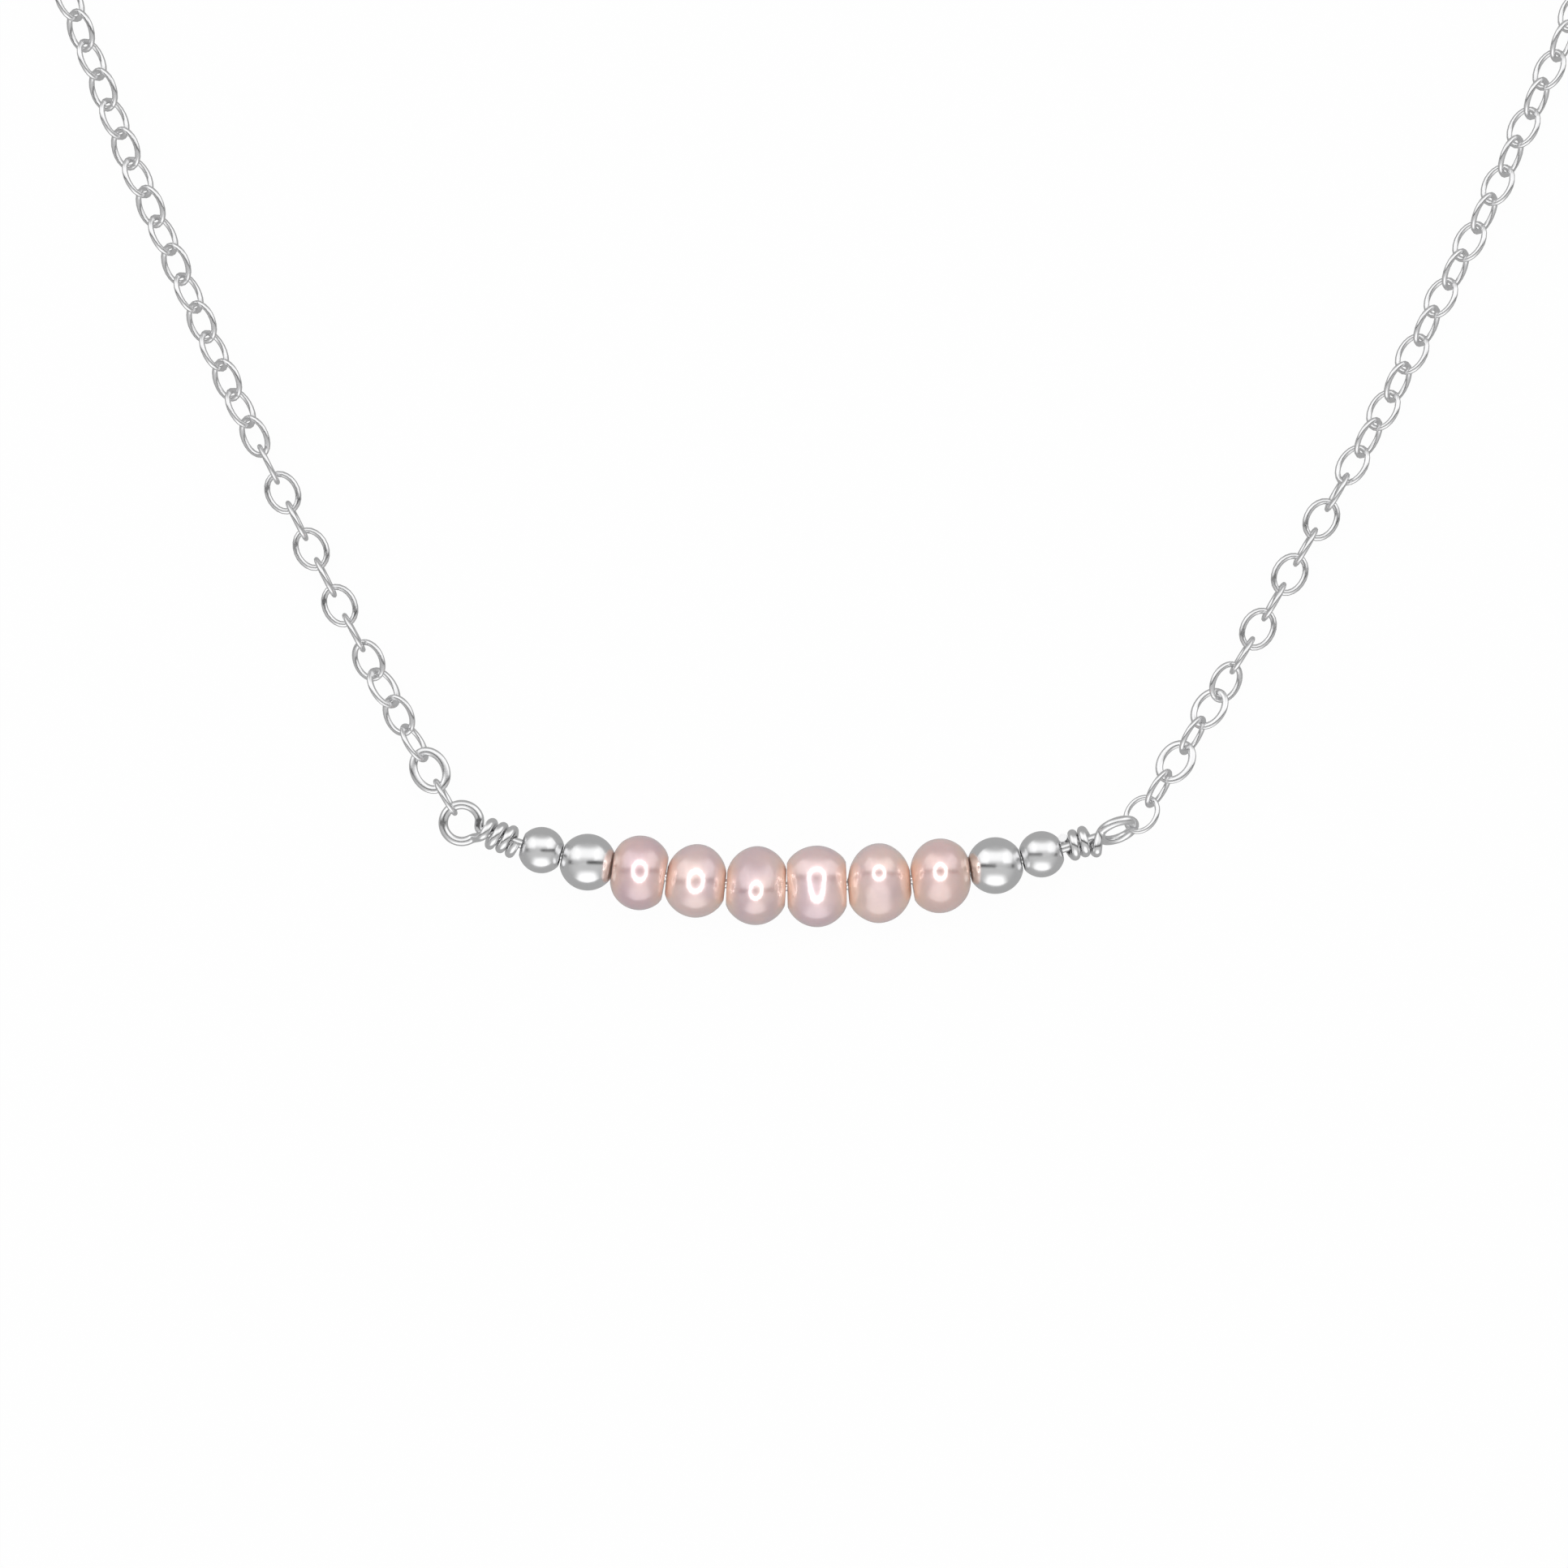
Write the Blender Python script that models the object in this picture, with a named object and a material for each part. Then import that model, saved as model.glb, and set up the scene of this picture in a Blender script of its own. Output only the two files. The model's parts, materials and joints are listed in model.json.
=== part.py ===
"""Pearl bar necklace, laid flat on its back with the clasp unhooked.

X runs along the pearl bar, Y runs up the neck opening towards the clasp, and Z is up.
Six pearls and four beads are threaded on one wire, and a cable chain hangs in each wire loop.
The first links of each chain are single pieces. The rest is made of runs: each run is the
outer sleeve of LINKS_PER_RUN links, and turns on the last link of the run before it.
"""

import math

import bmesh
import bpy
from mathutils import Matrix, Vector

MM = 0.001

# Sides: -1 is left, with the clasp, and 1 is right, with the end ring
SIDES = {-1: "left", 1: "right"}

# Bar wire
WIRE = 0.50 * MM
BAR_RADIUS = 49.0 * MM
LOOP_HOLE = 1.45 * MM
LOOP_NECK = 42.0
LOOP_ROLL = {-1: 0.0, 1: 62.0}
WRAP_PLAY = 0.08 * MM
WRAP_GAP = 0.06 * MM
WRAP_TURNS = {-1: 3.0, 1: 2.5}
NECK_LENGTH = 0.155 * MM
WRAP_CLEARANCE = 0.08 * MM
JOIN_REACH = 0.4
CORE_STEPS = 14

# Pearls, left to right: (length along the wire, diameter)
PEARLS = (
    (2.72 * MM, 3.97 * MM),
    (3.12 * MM, 3.92 * MM),
    (3.12 * MM, 4.19 * MM),
    (3.12 * MM, 4.36 * MM),
    (3.32 * MM, 4.23 * MM),
    (3.02 * MM, 3.95 * MM),
)
PEARL_BORE_PLAY = 0.24 * MM
PEARL_END = 1.70 * MM
PEARL_FULLNESS = 2.25

# Metal beads
LARGE_BEAD = 3.00 * MM
SMALL_BEAD = 2.45 * MM
BEAD_BORE = 1.20 * MM
STRINGING_GAP = 0.08 * MM

# Chain
LINK_WIRE = 0.28 * MM
LINK_PITCH = 1.68 * MM
LINK_WIDTH = 1.80 * MM
LINK_PLAY = 0.02 * MM
LOOP_PLAY = 0.05 * MM
END_LINK_ROLL = {-1: 0, 1: 45}
SINGLE_LINKS = 7
RUNS = 12
LINKS_PER_RUN = 8
LIFTING_RUNS = {6: 1, 11: -1}
RUN_WALL = 0.06 * MM
RUN_PLAY = 0.28 * MM
FLOOR_PLAY = 0.02 * MM
RUN_LEAN = 45

# How each chain lies, as a heading from +Y in degrees that falls along the chain
HEADING_AT_LOOP = {-1: 31.75, 1: 33.5}
HEADING_FALL_NEAR = 0.22 / MM
HEADING_FALL_FAR = 0.10 / MM
NEAR_LENGTH = 50.0 * MM

# Rings and clasp
CLASP_RING_HOLE = 2.00 * MM
CLASP_RING_WIRE = 0.50 * MM
END_RING_HOLE = 2.80 * MM
END_RING_WIRE = 0.60 * MM
RING_PLAY = 0.10 * MM
CLASP_THICKNESS = 2.2 * MM
CLASP_LENGTH = 8.4 * MM
CLASP_WIDTH = 5.2 * MM
CLASP_WALL = 0.95 * MM
CLASP_SPINE = 1.25 * MM
CLASP_HEEL = 2.6 * MM
EYE_PLAY = 0.86 * MM
EYE_RIM = 0.45 * MM
EYE_THICKNESS = 0.80 * MM
EYE_NECK = 0.10 * MM
EYE_SET_BACK = 0.05 * MM
SLOT_HEIGHT = 1.20 * MM
SLOT_BEHIND_PIN = 1.425 * MM
SLOT_AHEAD_OF_PIN = 1.0 * MM
GATE_START = 0.9 * MM
GATE_LAP = 0.35 * MM
LEVER_PLAY = 0.10 * MM
LEVER_WIDTH = 0.80 * MM
LEVER_ROOT = 1.00 * MM
LEVER_ROOT_ARC = (110, 250)
LEVER_NOSE = 0.28 * MM
THUMB_START = 1.25 * MM
THUMB_LENGTH = 0.90 * MM
THUMB_RISE = 2.20 * MM
THUMB_ROUND = 0.25 * MM
PIN_DIAMETER = 0.60 * MM
PIN_PLAY = 0.04 * MM
PIN_SET_IN = 1.15 * MM
PIN_BACK = 0.15 * MM
PIN_SUNK = 0.05 * MM
SPRING_DIAMETER = 0.80 * MM
SPRING_WIRE = 0.16 * MM
SPRING_TURNS = 3
SPRING_PLAY = 0.10 * MM

# Mesh fineness
WIRE_SIDES = 8
LINK_SIDES = 6
LINK_STEPS = 16
RING_STEPS = 20
LOOP_STEPS = 16
NECK_STEPS = 4
CROSSING_STEPS = 5
WRAP_STEPS = 12
PROFILE_STEPS = 8
PEARL_SIDES = 18
BEAD_SIDES = 16
RUN_SIDES = 10
ROOT_STEPS = 10

# Worked-out sizes
LOOP_RADIUS = (LOOP_HOLE + WIRE) / 2
WRAP_RADIUS = WIRE + WRAP_PLAY
WRAP_PITCH = WIRE + WRAP_GAP
WRAP_TO_LOOP = LOOP_RADIUS + WIRE / 2 + NECK_LENGTH
PEARL_BORE = WIRE + PEARL_BORE_PLAY
LINK_HALF = (LINK_PITCH + LINK_WIRE + LINK_PLAY) / 2
LINK_SIDE = (LINK_WIDTH - LINK_WIRE) / 2
LINK_START = LOOP_RADIUS - (WIRE + LINK_WIRE) / 2 - LOOP_PLAY + LINK_HALF
LINK_COUNT = SINGLE_LINKS + RUNS * LINKS_PER_RUN + 1
WIRE_HEIGHT = max(diameter for _, diameter in PEARLS) / 2
UPRIGHT_HEIGHT = LINK_WIDTH / 2 + FLOOR_PLAY
TURNED_HEIGHT = LINK_SIDE * math.sin(math.radians(RUN_LEAN)) + LINK_WIRE / 2 + FLOOR_PLAY
RUN_RADIUS = TURNED_HEIGHT - 2 * FLOOR_PLAY
RUN_END_GAP = LINK_WIRE / 2 + RUN_PLAY
LAST_RUN_GAP = RUN_END_GAP + LINK_WIRE + LINK_PLAY
CLASP_RING_RADIUS = (CLASP_RING_HOLE + CLASP_RING_WIRE) / 2
END_RING_RADIUS = (END_RING_HOLE + END_RING_WIRE) / 2
EYE_HOLE = CLASP_RING_WIRE + EYE_PLAY
OPENING_START = EYE_HOLE / 2 + EYE_NECK + CLASP_HEEL - EYE_SET_BACK
CLASP_START = OPENING_START - CLASP_HEEL
OPENING_END = CLASP_START + CLASP_LENGTH - CLASP_WALL
PIN_ALONG = OPENING_START - PIN_BACK
PIN_ACROSS = CLASP_WIDTH / 2 - PIN_SET_IN
GATE_END = OPENING_END - GATE_LAP
SLOT_START = PIN_ALONG - SLOT_BEHIND_PIN
SLOT_LOW = (CLASP_THICKNESS - SLOT_HEIGHT) / 2
CUT_OVER = 2 * MM

SILVER = ((0.86, 0.86, 0.87), 1.0, 0.12)
SPRING_STEEL = ((0.62, 0.62, 0.63), 1.0, 0.3)
PEARL_TONES = (
    (0.83, 0.68, 0.66),
    (0.84, 0.71, 0.67),
    (0.83, 0.70, 0.66),
    (0.84, 0.71, 0.69),
    (0.84, 0.71, 0.65),
    (0.82, 0.68, 0.63),
)

UP = Vector((0, 0, 1))


def clear_scene():
    for old in list(bpy.data.objects):
        bpy.data.objects.remove(old, do_unlink=True)


def material(name, tone, metallic, roughness):
    """A plain Principled material of its own for one piece."""
    mat = bpy.data.materials.new(name)
    mat.use_nodes = True
    shader = mat.node_tree.nodes["Principled BSDF"]
    shader.inputs["Base Color"].default_value = (*tone, 1.0)
    shader.inputs["Metallic"].default_value = metallic
    shader.inputs["Roughness"].default_value = roughness
    mat.diffuse_color = (*tone, 1.0)
    return mat


def frame_matrix(origin, along, axis):
    """A frame whose Z is the joint axis and whose X is as near along as it can be."""
    z = Vector(axis).normalized()
    x = (Vector(along) - z * z.dot(Vector(along))).normalized()
    y = z.cross(x)
    rotation = Matrix((x, y, z)).transposed().to_4x4()
    return Matrix.Translation(origin) @ rotation


def add_piece(name, verts, faces, frame, look):
    """An object whose origin is its frame's. The vertices are given in world space."""
    inverse = frame.inverted()
    mesh = bpy.data.meshes.new(name)
    mesh.from_pydata([inverse @ Vector(v) for v in verts], [], faces)
    bm = bmesh.new()
    bm.from_mesh(mesh)
    bmesh.ops.recalc_face_normals(bm, faces=bm.faces)
    bm.to_mesh(mesh)
    bm.free()
    obj = bpy.data.objects.new(name, mesh)
    bpy.context.collection.objects.link(obj)
    obj.matrix_world = frame
    mesh.materials.append(material(name, *look))
    mesh.shade_smooth()
    mesh.set_sharp_from_angle(angle=math.radians(40))
    return obj


def swept_rings(points, radius, sides, closed, normal):
    """Rings of vertices around a path. The section's frame is carried along without twist."""
    count = len(points)
    rings = []
    side = Vector(normal)
    for i, point in enumerate(points):
        before = points[i - 1] if (i or closed) else points[0]
        after = points[(i + 1) % count] if (i < count - 1 or closed) else points[-1]
        tangent = (after - before).normalized()
        side = (side - tangent * tangent.dot(side)).normalized()
        other = tangent.cross(side)
        rings.append(
            [
                point + (side * math.cos(a) + other * math.sin(a)) * radius
                for a in (2 * math.pi * (k + 0.5) / sides for k in range(sides))
            ]
        )
    return rings


def skin_rings(rings, closed):
    """Vertices and faces that join the rings in order, with flat caps if the tube is open."""
    sides = len(rings[0])
    verts = [v for ring in rings for v in ring]
    faces = []
    last = len(rings) if closed else len(rings) - 1
    for i in range(last):
        a, b = i * sides, ((i + 1) % len(rings)) * sides
        for k in range(sides):
            n = (k + 1) % sides
            faces.append((a + k, a + n, b + n, b + k))
    if not closed:
        faces.append(tuple(range(sides)))
        faces.append(tuple(reversed(range(len(verts) - sides, len(verts)))))
    return verts, faces


def turned(profile, centre, axis, sides):
    """Vertices and faces of a closed (along, radius) profile turned about an axis.

    One vertex of each ring points straight down, so the piece rests on its true diameter.
    """
    axis = axis.normalized()
    down = (-UP + axis * axis.dot(UP)).normalized()
    other = axis.cross(down)
    rings = []
    for along, radius in profile:
        rings.append(
            [
                centre + axis * along + (down * math.cos(a) + other * math.sin(a)) * radius
                for a in (2 * math.pi * k / sides for k in range(sides))
            ]
        )
    return skin_rings(rings, closed=True)


# The bar: places along the wire are arc lengths from the middle of the six pearls


def bar_point(s):
    angle = s / BAR_RADIUS
    return Vector(
        (
            BAR_RADIUS * math.sin(angle),
            BAR_RADIUS * (1 - math.cos(angle)),
            WIRE_HEIGHT,
        )
    )


def bar_tangent(s):
    angle = s / BAR_RADIUS
    return Vector((math.cos(angle), math.sin(angle), 0))


def bead_length(diameter):
    """A drilled ball is shorter than its diameter by the caps that its hole takes off."""
    return math.sqrt(diameter**2 - BEAD_BORE**2)


def stringing():
    """Each threaded piece as (name, middle along the wire, length, diameter), left to right."""
    half = len(PEARLS) // 2
    left = [(f"pearl_{half - i}", *PEARLS[half - 1 - i]) for i in range(half)]
    right = [(f"pearl_{half + 1 + i}", *PEARLS[half + i]) for i in range(half)]
    placed, ends = [], {}
    for (side, label), row in zip(SIDES.items(), (left, right)):
        row = row + [
            (f"large_bead_{label}", bead_length(LARGE_BEAD), LARGE_BEAD),
            (f"small_bead_{label}", bead_length(SMALL_BEAD), SMALL_BEAD),
        ]
        edge = STRINGING_GAP / 2
        for name, length, diameter in row:
            placed.append((name, side * (edge + length / 2), length, diameter))
            edge += length + STRINGING_GAP
        ends[side] = edge
    return placed, ends


def loop_place(side, stack_end):
    """Arc length at which the wire loop is centred, past the beads and the wraps."""
    first_turn = stack_end + WRAP_CLEARANCE + WIRE / 2
    return first_turn + WRAP_TURNS[side] * WRAP_PITCH + WRAP_TO_LOOP


def loop_frame(side, stack_end):
    """Loop centre, outward direction of the wire there, and the loop's side direction."""
    s = side * loop_place(side, stack_end)
    outward = bar_tangent(s) * side
    a = math.radians(LOOP_ROLL[side])
    across = UP.cross(outward) * math.cos(a) + UP * math.sin(a)
    return bar_point(s), outward, across


def chain_start(side, stack_end):
    """Where the first link hangs in the loop: a flat loop lets it lie in line with the chain."""
    centre, outward, _ = loop_frame(side, stack_end)
    pull = chain_direction(side) if LOOP_ROLL[side] == 0 else outward
    return centre + pull * LOOP_RADIUS


def smooth_join(start, start_way, end, end_way, steps):
    """Points of a cubic curve between two places with the directions given at each."""
    reach = (end - start).length * JOIN_REACH
    a, b = start + start_way * reach, end - end_way * reach
    points = []
    for i in range(1, steps):
        t = i / steps
        points.append(
            start * (1 - t) ** 3
            + a * 3 * t * (1 - t) ** 2
            + b * 3 * t**2 * (1 - t)
            + end * t**3
        )
    return points


def wrapped_end(side, stack_end):
    """The wire's path from the beads out, round the loop and back in wraps over itself."""
    centre, outward, across = loop_frame(side, stack_end)
    normal = outward.cross(across)
    loop_s = loop_place(side, stack_end)

    def round_loop(degrees):
        a = math.radians(degrees)
        return centre + (outward * math.cos(a) + across * math.sin(a)) * LOOP_RADIUS

    def loop_way(degrees):
        a = math.radians(degrees)
        return across * math.cos(a) - outward * math.sin(a)

    def on_wrap(turn):
        a = 2 * math.pi * turn
        s = loop_s - WRAP_TO_LOOP - turn * WRAP_PITCH
        middle = bar_point(side * s)
        return middle + (normal * math.cos(a) - across * math.sin(a)) * WRAP_RADIUS

    enter, leave = 180 + LOOP_NECK, 540 - LOOP_NECK
    neck = bar_point(side * (loop_s - WRAP_TO_LOOP + WIRE / 2))
    path = [neck]
    path += smooth_join(neck, outward, round_loop(enter), loop_way(enter), NECK_STEPS)
    step = (leave - enter) / LOOP_STEPS
    path += [round_loop(enter + step * i) for i in range(LOOP_STEPS + 1)]
    wrap_way = (on_wrap(1 / WRAP_STEPS) - on_wrap(0)).normalized()
    end, end_way = round_loop(leave), loop_way(leave)
    path += smooth_join(end, end_way, on_wrap(0), wrap_way, CROSSING_STEPS)
    turns = WRAP_TURNS[side]
    count = round(turns * WRAP_STEPS)
    path += [on_wrap(turns * i / count) for i in range(count + 1)]
    return path


def make_bar(ends):
    left, right = wrapped_end(-1, ends[-1]), wrapped_end(1, ends[1])
    reach = {
        side: loop_place(side, ends[side]) - WRAP_TO_LOOP + WIRE / 2 for side in (-1, 1)
    }
    span = reach[-1] + reach[1]
    core = [bar_point(-reach[-1] + span * i / CORE_STEPS) for i in range(1, CORE_STEPS)]
    path = list(reversed(left)) + core + right
    verts, faces = skin_rings(swept_rings(path, WIRE / 2, WIRE_SIDES, False, UP), False)
    frame = frame_matrix(bar_point(0), (1, 0, 0), UP)
    return add_piece("bar_wire", verts, faces, frame, SILVER)


def pearl_profile(length, diameter):
    """Outer half-oval from end to end, then back through the bore."""
    half, end = length / 2, PEARL_END / 2
    bulge = diameter / 2 - end
    outer = []
    for i in range(PROFILE_STEPS + 1):
        x = -math.cos(math.pi * i / PROFILE_STEPS)
        rise = (1 - abs(x) ** PEARL_FULLNESS) ** (1 / PEARL_FULLNESS)
        outer.append((x * half, end + bulge * rise))
    bore = PEARL_BORE / 2
    return outer + [(half, bore), (-half, bore)]


def bead_profile(diameter):
    """A ball from hole rim to hole rim. Closing it makes the straight bore."""
    start = math.asin(BEAD_BORE / diameter)
    angles = [
        math.pi - start - (math.pi - 2 * start) * i / PROFILE_STEPS
        for i in range(PROFILE_STEPS + 1)
    ]
    return [(diameter / 2 * math.cos(a), diameter / 2 * math.sin(a)) for a in angles]


def make_threaded(placed):
    for name, s, length, diameter in placed:
        is_pearl = name.startswith("pearl")
        axis = bar_tangent(s)
        if is_pearl:
            profile, sides = pearl_profile(length, diameter), PEARL_SIDES
            tone = PEARL_TONES[int(name.split("_")[1]) - 1]
            look = (tone, 0.0, 0.18)
        else:
            profile, sides = bead_profile(diameter), BEAD_SIDES
            look = SILVER
        verts, faces = turned(profile, bar_point(s), axis, sides)
        add_piece(name, verts, faces, frame_matrix(bar_point(s), UP, axis), look)


# The chains: places along a chain count from one loop radius before the first link's seat


def swing(start, fall, length):
    """How far a path goes (across, along) when its heading falls evenly from start."""
    rate = math.radians(fall)
    first = math.radians(start)
    last = first - rate * length
    across = (math.cos(last) - math.cos(first)) / rate
    along = (math.sin(first) - math.sin(last)) / rate
    return across, along


def chain_flat(side, s):
    """(across, along) from the loop's centre, as seen from above."""
    start = HEADING_AT_LOOP[side]
    near = min(s, NEAR_LENGTH)
    across, along = swing(start, HEADING_FALL_NEAR, near)
    if s > NEAR_LENGTH:
        turned_to = start - HEADING_FALL_NEAR * NEAR_LENGTH
        more = swing(turned_to, HEADING_FALL_FAR, s - NEAR_LENGTH)
        across, along = across + more[0], along + more[1]
    return side * across, along


def link_place(k):
    """Length along the chain of the middle of link k, which counts from 1."""
    return LINK_START + (k - 1) * LINK_PITCH


def chain_height(s):
    """The chain comes down from the loop to lie on the surface."""
    down = link_place(SINGLE_LINKS)
    level = link_place(SINGLE_LINKS + LINKS_PER_RUN)
    if s < down:
        part = max(0.0, s - LOOP_RADIUS) / (down - LOOP_RADIUS)
        return WIRE_HEIGHT + (UPRIGHT_HEIGHT - WIRE_HEIGHT) * part
    part = min(1.0, (s - down) / (level - down))
    return UPRIGHT_HEIGHT + (TURNED_HEIGHT - UPRIGHT_HEIGHT) * part


def chain_point(side, loop, s):
    across, along = chain_flat(side, s)
    return Vector((loop.x + across, loop.y + along, chain_height(s)))


def link_pose(side, loop, k):
    """Middle and direction of link k."""
    s = link_place(k)
    before = chain_point(side, loop, s - LINK_PITCH / 2)
    after = chain_point(side, loop, s + LINK_PITCH / 2)
    return (before + after) / 2, (after - before).normalized()


def across_of(way, roll):
    """The direction across a link's face, level at roll 0 and upright at roll 90."""
    level = way.cross(UP).normalized()
    upright = level.cross(way)
    a = math.radians(roll)
    return level * math.cos(a) + upright * math.sin(a)


def ring_mesh(middle, way, across, half, side, wire, steps, sides):
    path = [
        middle + way * (half * math.cos(a)) + across * (side * math.sin(a))
        for a in (2 * math.pi * i / steps for i in range(steps))
    ]
    return skin_rings(swept_rings(path, wire / 2, sides, True, way.cross(across)), True)


def add_link(name, middle, way, roll, frame):
    across = across_of(way, roll)
    verts, faces = ring_mesh(
        middle, way, across, LINK_HALF, LINK_SIDE, LINK_WIRE, LINK_STEPS, LINK_SIDES
    )
    return add_piece(name, verts, faces, frame, SILVER)


def add_run(name, start, end, frame):
    """The sleeve around a run of links: as wide as they are and as heavy, open at both ends."""
    way = (end - start).normalized()
    profile = (
        (0, RUN_RADIUS),
        ((end - start).length, RUN_RADIUS),
        ((end - start).length, RUN_RADIUS - RUN_WALL),
        (0, RUN_RADIUS - RUN_WALL),
    )
    verts, faces = turned(profile, start, way, RUN_SIDES)
    return add_piece(name, verts, faces, frame, SILVER)


def single_roll(side, k):
    """Left links start upright in their flat loop, right links flat in their upright loop."""
    upright_first = 1 if side < 0 else 0
    return 90 if k % 2 == upright_first else 0


def joint_axis(way, kind, sign):
    """A lift turns the chain up from the surface, and a sway turns it along the surface."""
    level = way.cross(UP).normalized()
    return (level if kind == "lift" else level.cross(way)) * sign


def chain_joint(side, k):
    """Kind and sign of the joint that carries link k from the piece before it."""
    parent_roll = single_roll(side, k - 1) if k <= SINGLE_LINKS else 90
    kind = "lift" if parent_roll == 0 else "sway"
    turn = (k // 2) % 2
    return kind, 1 if turn == 0 else -1


def run_joint(index):
    """Runs sway to alternate sides, apart from two that lift."""
    if index in LIFTING_RUNS:
        return "lift", LIFTING_RUNS[index]
    return "sway", 1 if index % 2 else -1


def make_chain(side, label, tip):
    way = chain_direction(side)
    loop = tip - way * LOOP_RADIUS
    for k in range(1, SINGLE_LINKS + 1):
        middle, link_way = link_pose(side, loop, k)
        kind, sign = chain_joint(side, k)
        frame = frame_matrix(tip, way, joint_axis(way, kind, sign))
        add_link(f"{label}_link_{k}", middle, link_way, single_roll(side, k), frame)
        tip, way = middle + link_way * LINK_HALF, link_way
    for index in range(1, RUNS + 1):
        last = SINGLE_LINKS + index * LINKS_PER_RUN
        middle, last_way = link_pose(side, loop, last)
        far_tip = middle + last_way * LINK_HALF
        run_way = (far_tip - tip).normalized()
        gap = LAST_RUN_GAP if index == RUNS else RUN_END_GAP
        kind, sign = run_joint(index)
        frame = frame_matrix(tip, run_way, joint_axis(way, kind, sign))
        start, end = tip + run_way * RUN_END_GAP, far_tip - run_way * gap
        add_run(f"{label}_run_{index}", start, end, frame)
        tip, way = far_tip, last_way
    middle, link_way = link_pose(side, loop, LINK_COUNT)
    frame = frame_matrix(tip, way, joint_axis(way, "sway", 1))
    add_link(f"{label}_end_link", middle, link_way, END_LINK_ROLL[side], frame)
    return middle + link_way * LINK_HALF, link_way


def chain_direction(side):
    a = math.radians(HEADING_AT_LOOP[side])
    return Vector((side * math.sin(a), math.cos(a), 0))


def make_end_ring(tip, way):
    """The ring that the clasp hooks, leaning down until its far side rests on the surface.

    It lifts about its own wire where that lies in the last link.
    """
    flat = Vector((way.x, way.y, 0)).normalized()
    near_back = (LINK_WIRE + END_RING_WIRE) / 2 + RING_PLAY
    near = tip - flat * near_back
    drop = (near.z - END_RING_WIRE / 2) / (2 * END_RING_RADIUS)
    lean = (flat * math.sqrt(1 - drop**2) - UP * drop).normalized()
    middle = near + lean * END_RING_RADIUS
    level = flat.cross(UP)
    verts, faces = ring_mesh(
        middle, lean, level, END_RING_RADIUS, END_RING_RADIUS, END_RING_WIRE, RING_STEPS, 8
    )
    add_piece("end_ring", verts, faces, frame_matrix(near, flat, level), SILVER)


def make_clasp_ring(tip, way):
    """An upright ring that stands on the surface. Returns its middle and its heading."""
    flat = Vector((way.x, way.y, 0)).normalized()
    stand = CLASP_RING_RADIUS + CLASP_RING_WIRE / 2
    below = stand - tip.z
    ahead = math.sqrt(CLASP_RING_RADIUS**2 - below**2)
    slant = CLASP_RING_RADIUS / ahead
    near_back = ((LINK_WIRE + CLASP_RING_WIRE) / 2 + RING_PLAY) * slant
    middle = tip + flat * (ahead - near_back) + UP * below
    verts, faces = ring_mesh(
        middle, flat, UP, CLASP_RING_RADIUS, CLASP_RING_RADIUS, CLASP_RING_WIRE, RING_STEPS, 8
    )
    frame = frame_matrix(tip, flat, flat.cross(UP))
    add_piece("clasp_ring", verts, faces, frame, SILVER)
    return middle, flat


def prism(name, outline, low, high, frame, look=SILVER):
    """A flat outline in the clasp's own (along, across) directions, raised from low to high."""
    count = len(outline)
    verts = [frame @ Vector((u, v, low)) for u, v in outline]
    verts += [frame @ Vector((u, v, high)) for u, v in outline]
    faces = [tuple(reversed(range(count))), tuple(range(count, 2 * count))]
    for i in range(count):
        n = (i + 1) % count
        faces.append((i, n, n + count, i + count))
    return add_piece(name, verts, faces, frame, look)


def oval(centre, half_length, half_width, steps):
    return [
        (centre[0] + half_length * math.cos(a), centre[1] + half_width * math.sin(a))
        for a in (2 * math.pi * i / steps for i in range(steps))
    ]


def box_outline(u0, u1, v0, v1):
    return [(u0, v0), (u1, v0), (u1, v1), (u0, v1)]


def cut(body, cutter, operation="DIFFERENCE"):
    modifier = body.modifiers.new(cutter.name, "BOOLEAN")
    modifier.operation = operation
    modifier.object = cutter
    modifier.solver = "EXACT"
    cutter.hide_render = True
    cutter.display_type = "WIRE"


def disc(centre, diameter, steps):
    return oval(centre, diameter / 2, diameter / 2, steps)


def make_clasp(ring_middle, flat):
    """A lobster clasp on its flat side. Its frame is at the eye, with X towards the nose."""
    below = ring_middle.z - CLASP_THICKNESS / 2
    ahead = math.sqrt(CLASP_RING_RADIUS**2 - below**2)
    eye = ring_middle + flat * ahead
    frame = frame_matrix((eye.x, eye.y, 0), flat, UP)
    pin_frame = frame @ Matrix.Translation((PIN_ALONG, PIN_ACROSS, 0))
    make_clasp_body(frame)
    round_pin = disc((0, 0), PIN_DIAMETER, 16)
    prism("clasp_pin", round_pin, PIN_SUNK, CLASP_THICKNESS - PIN_SUNK, pin_frame)
    make_lever(pin_frame)
    make_spring(frame)


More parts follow.
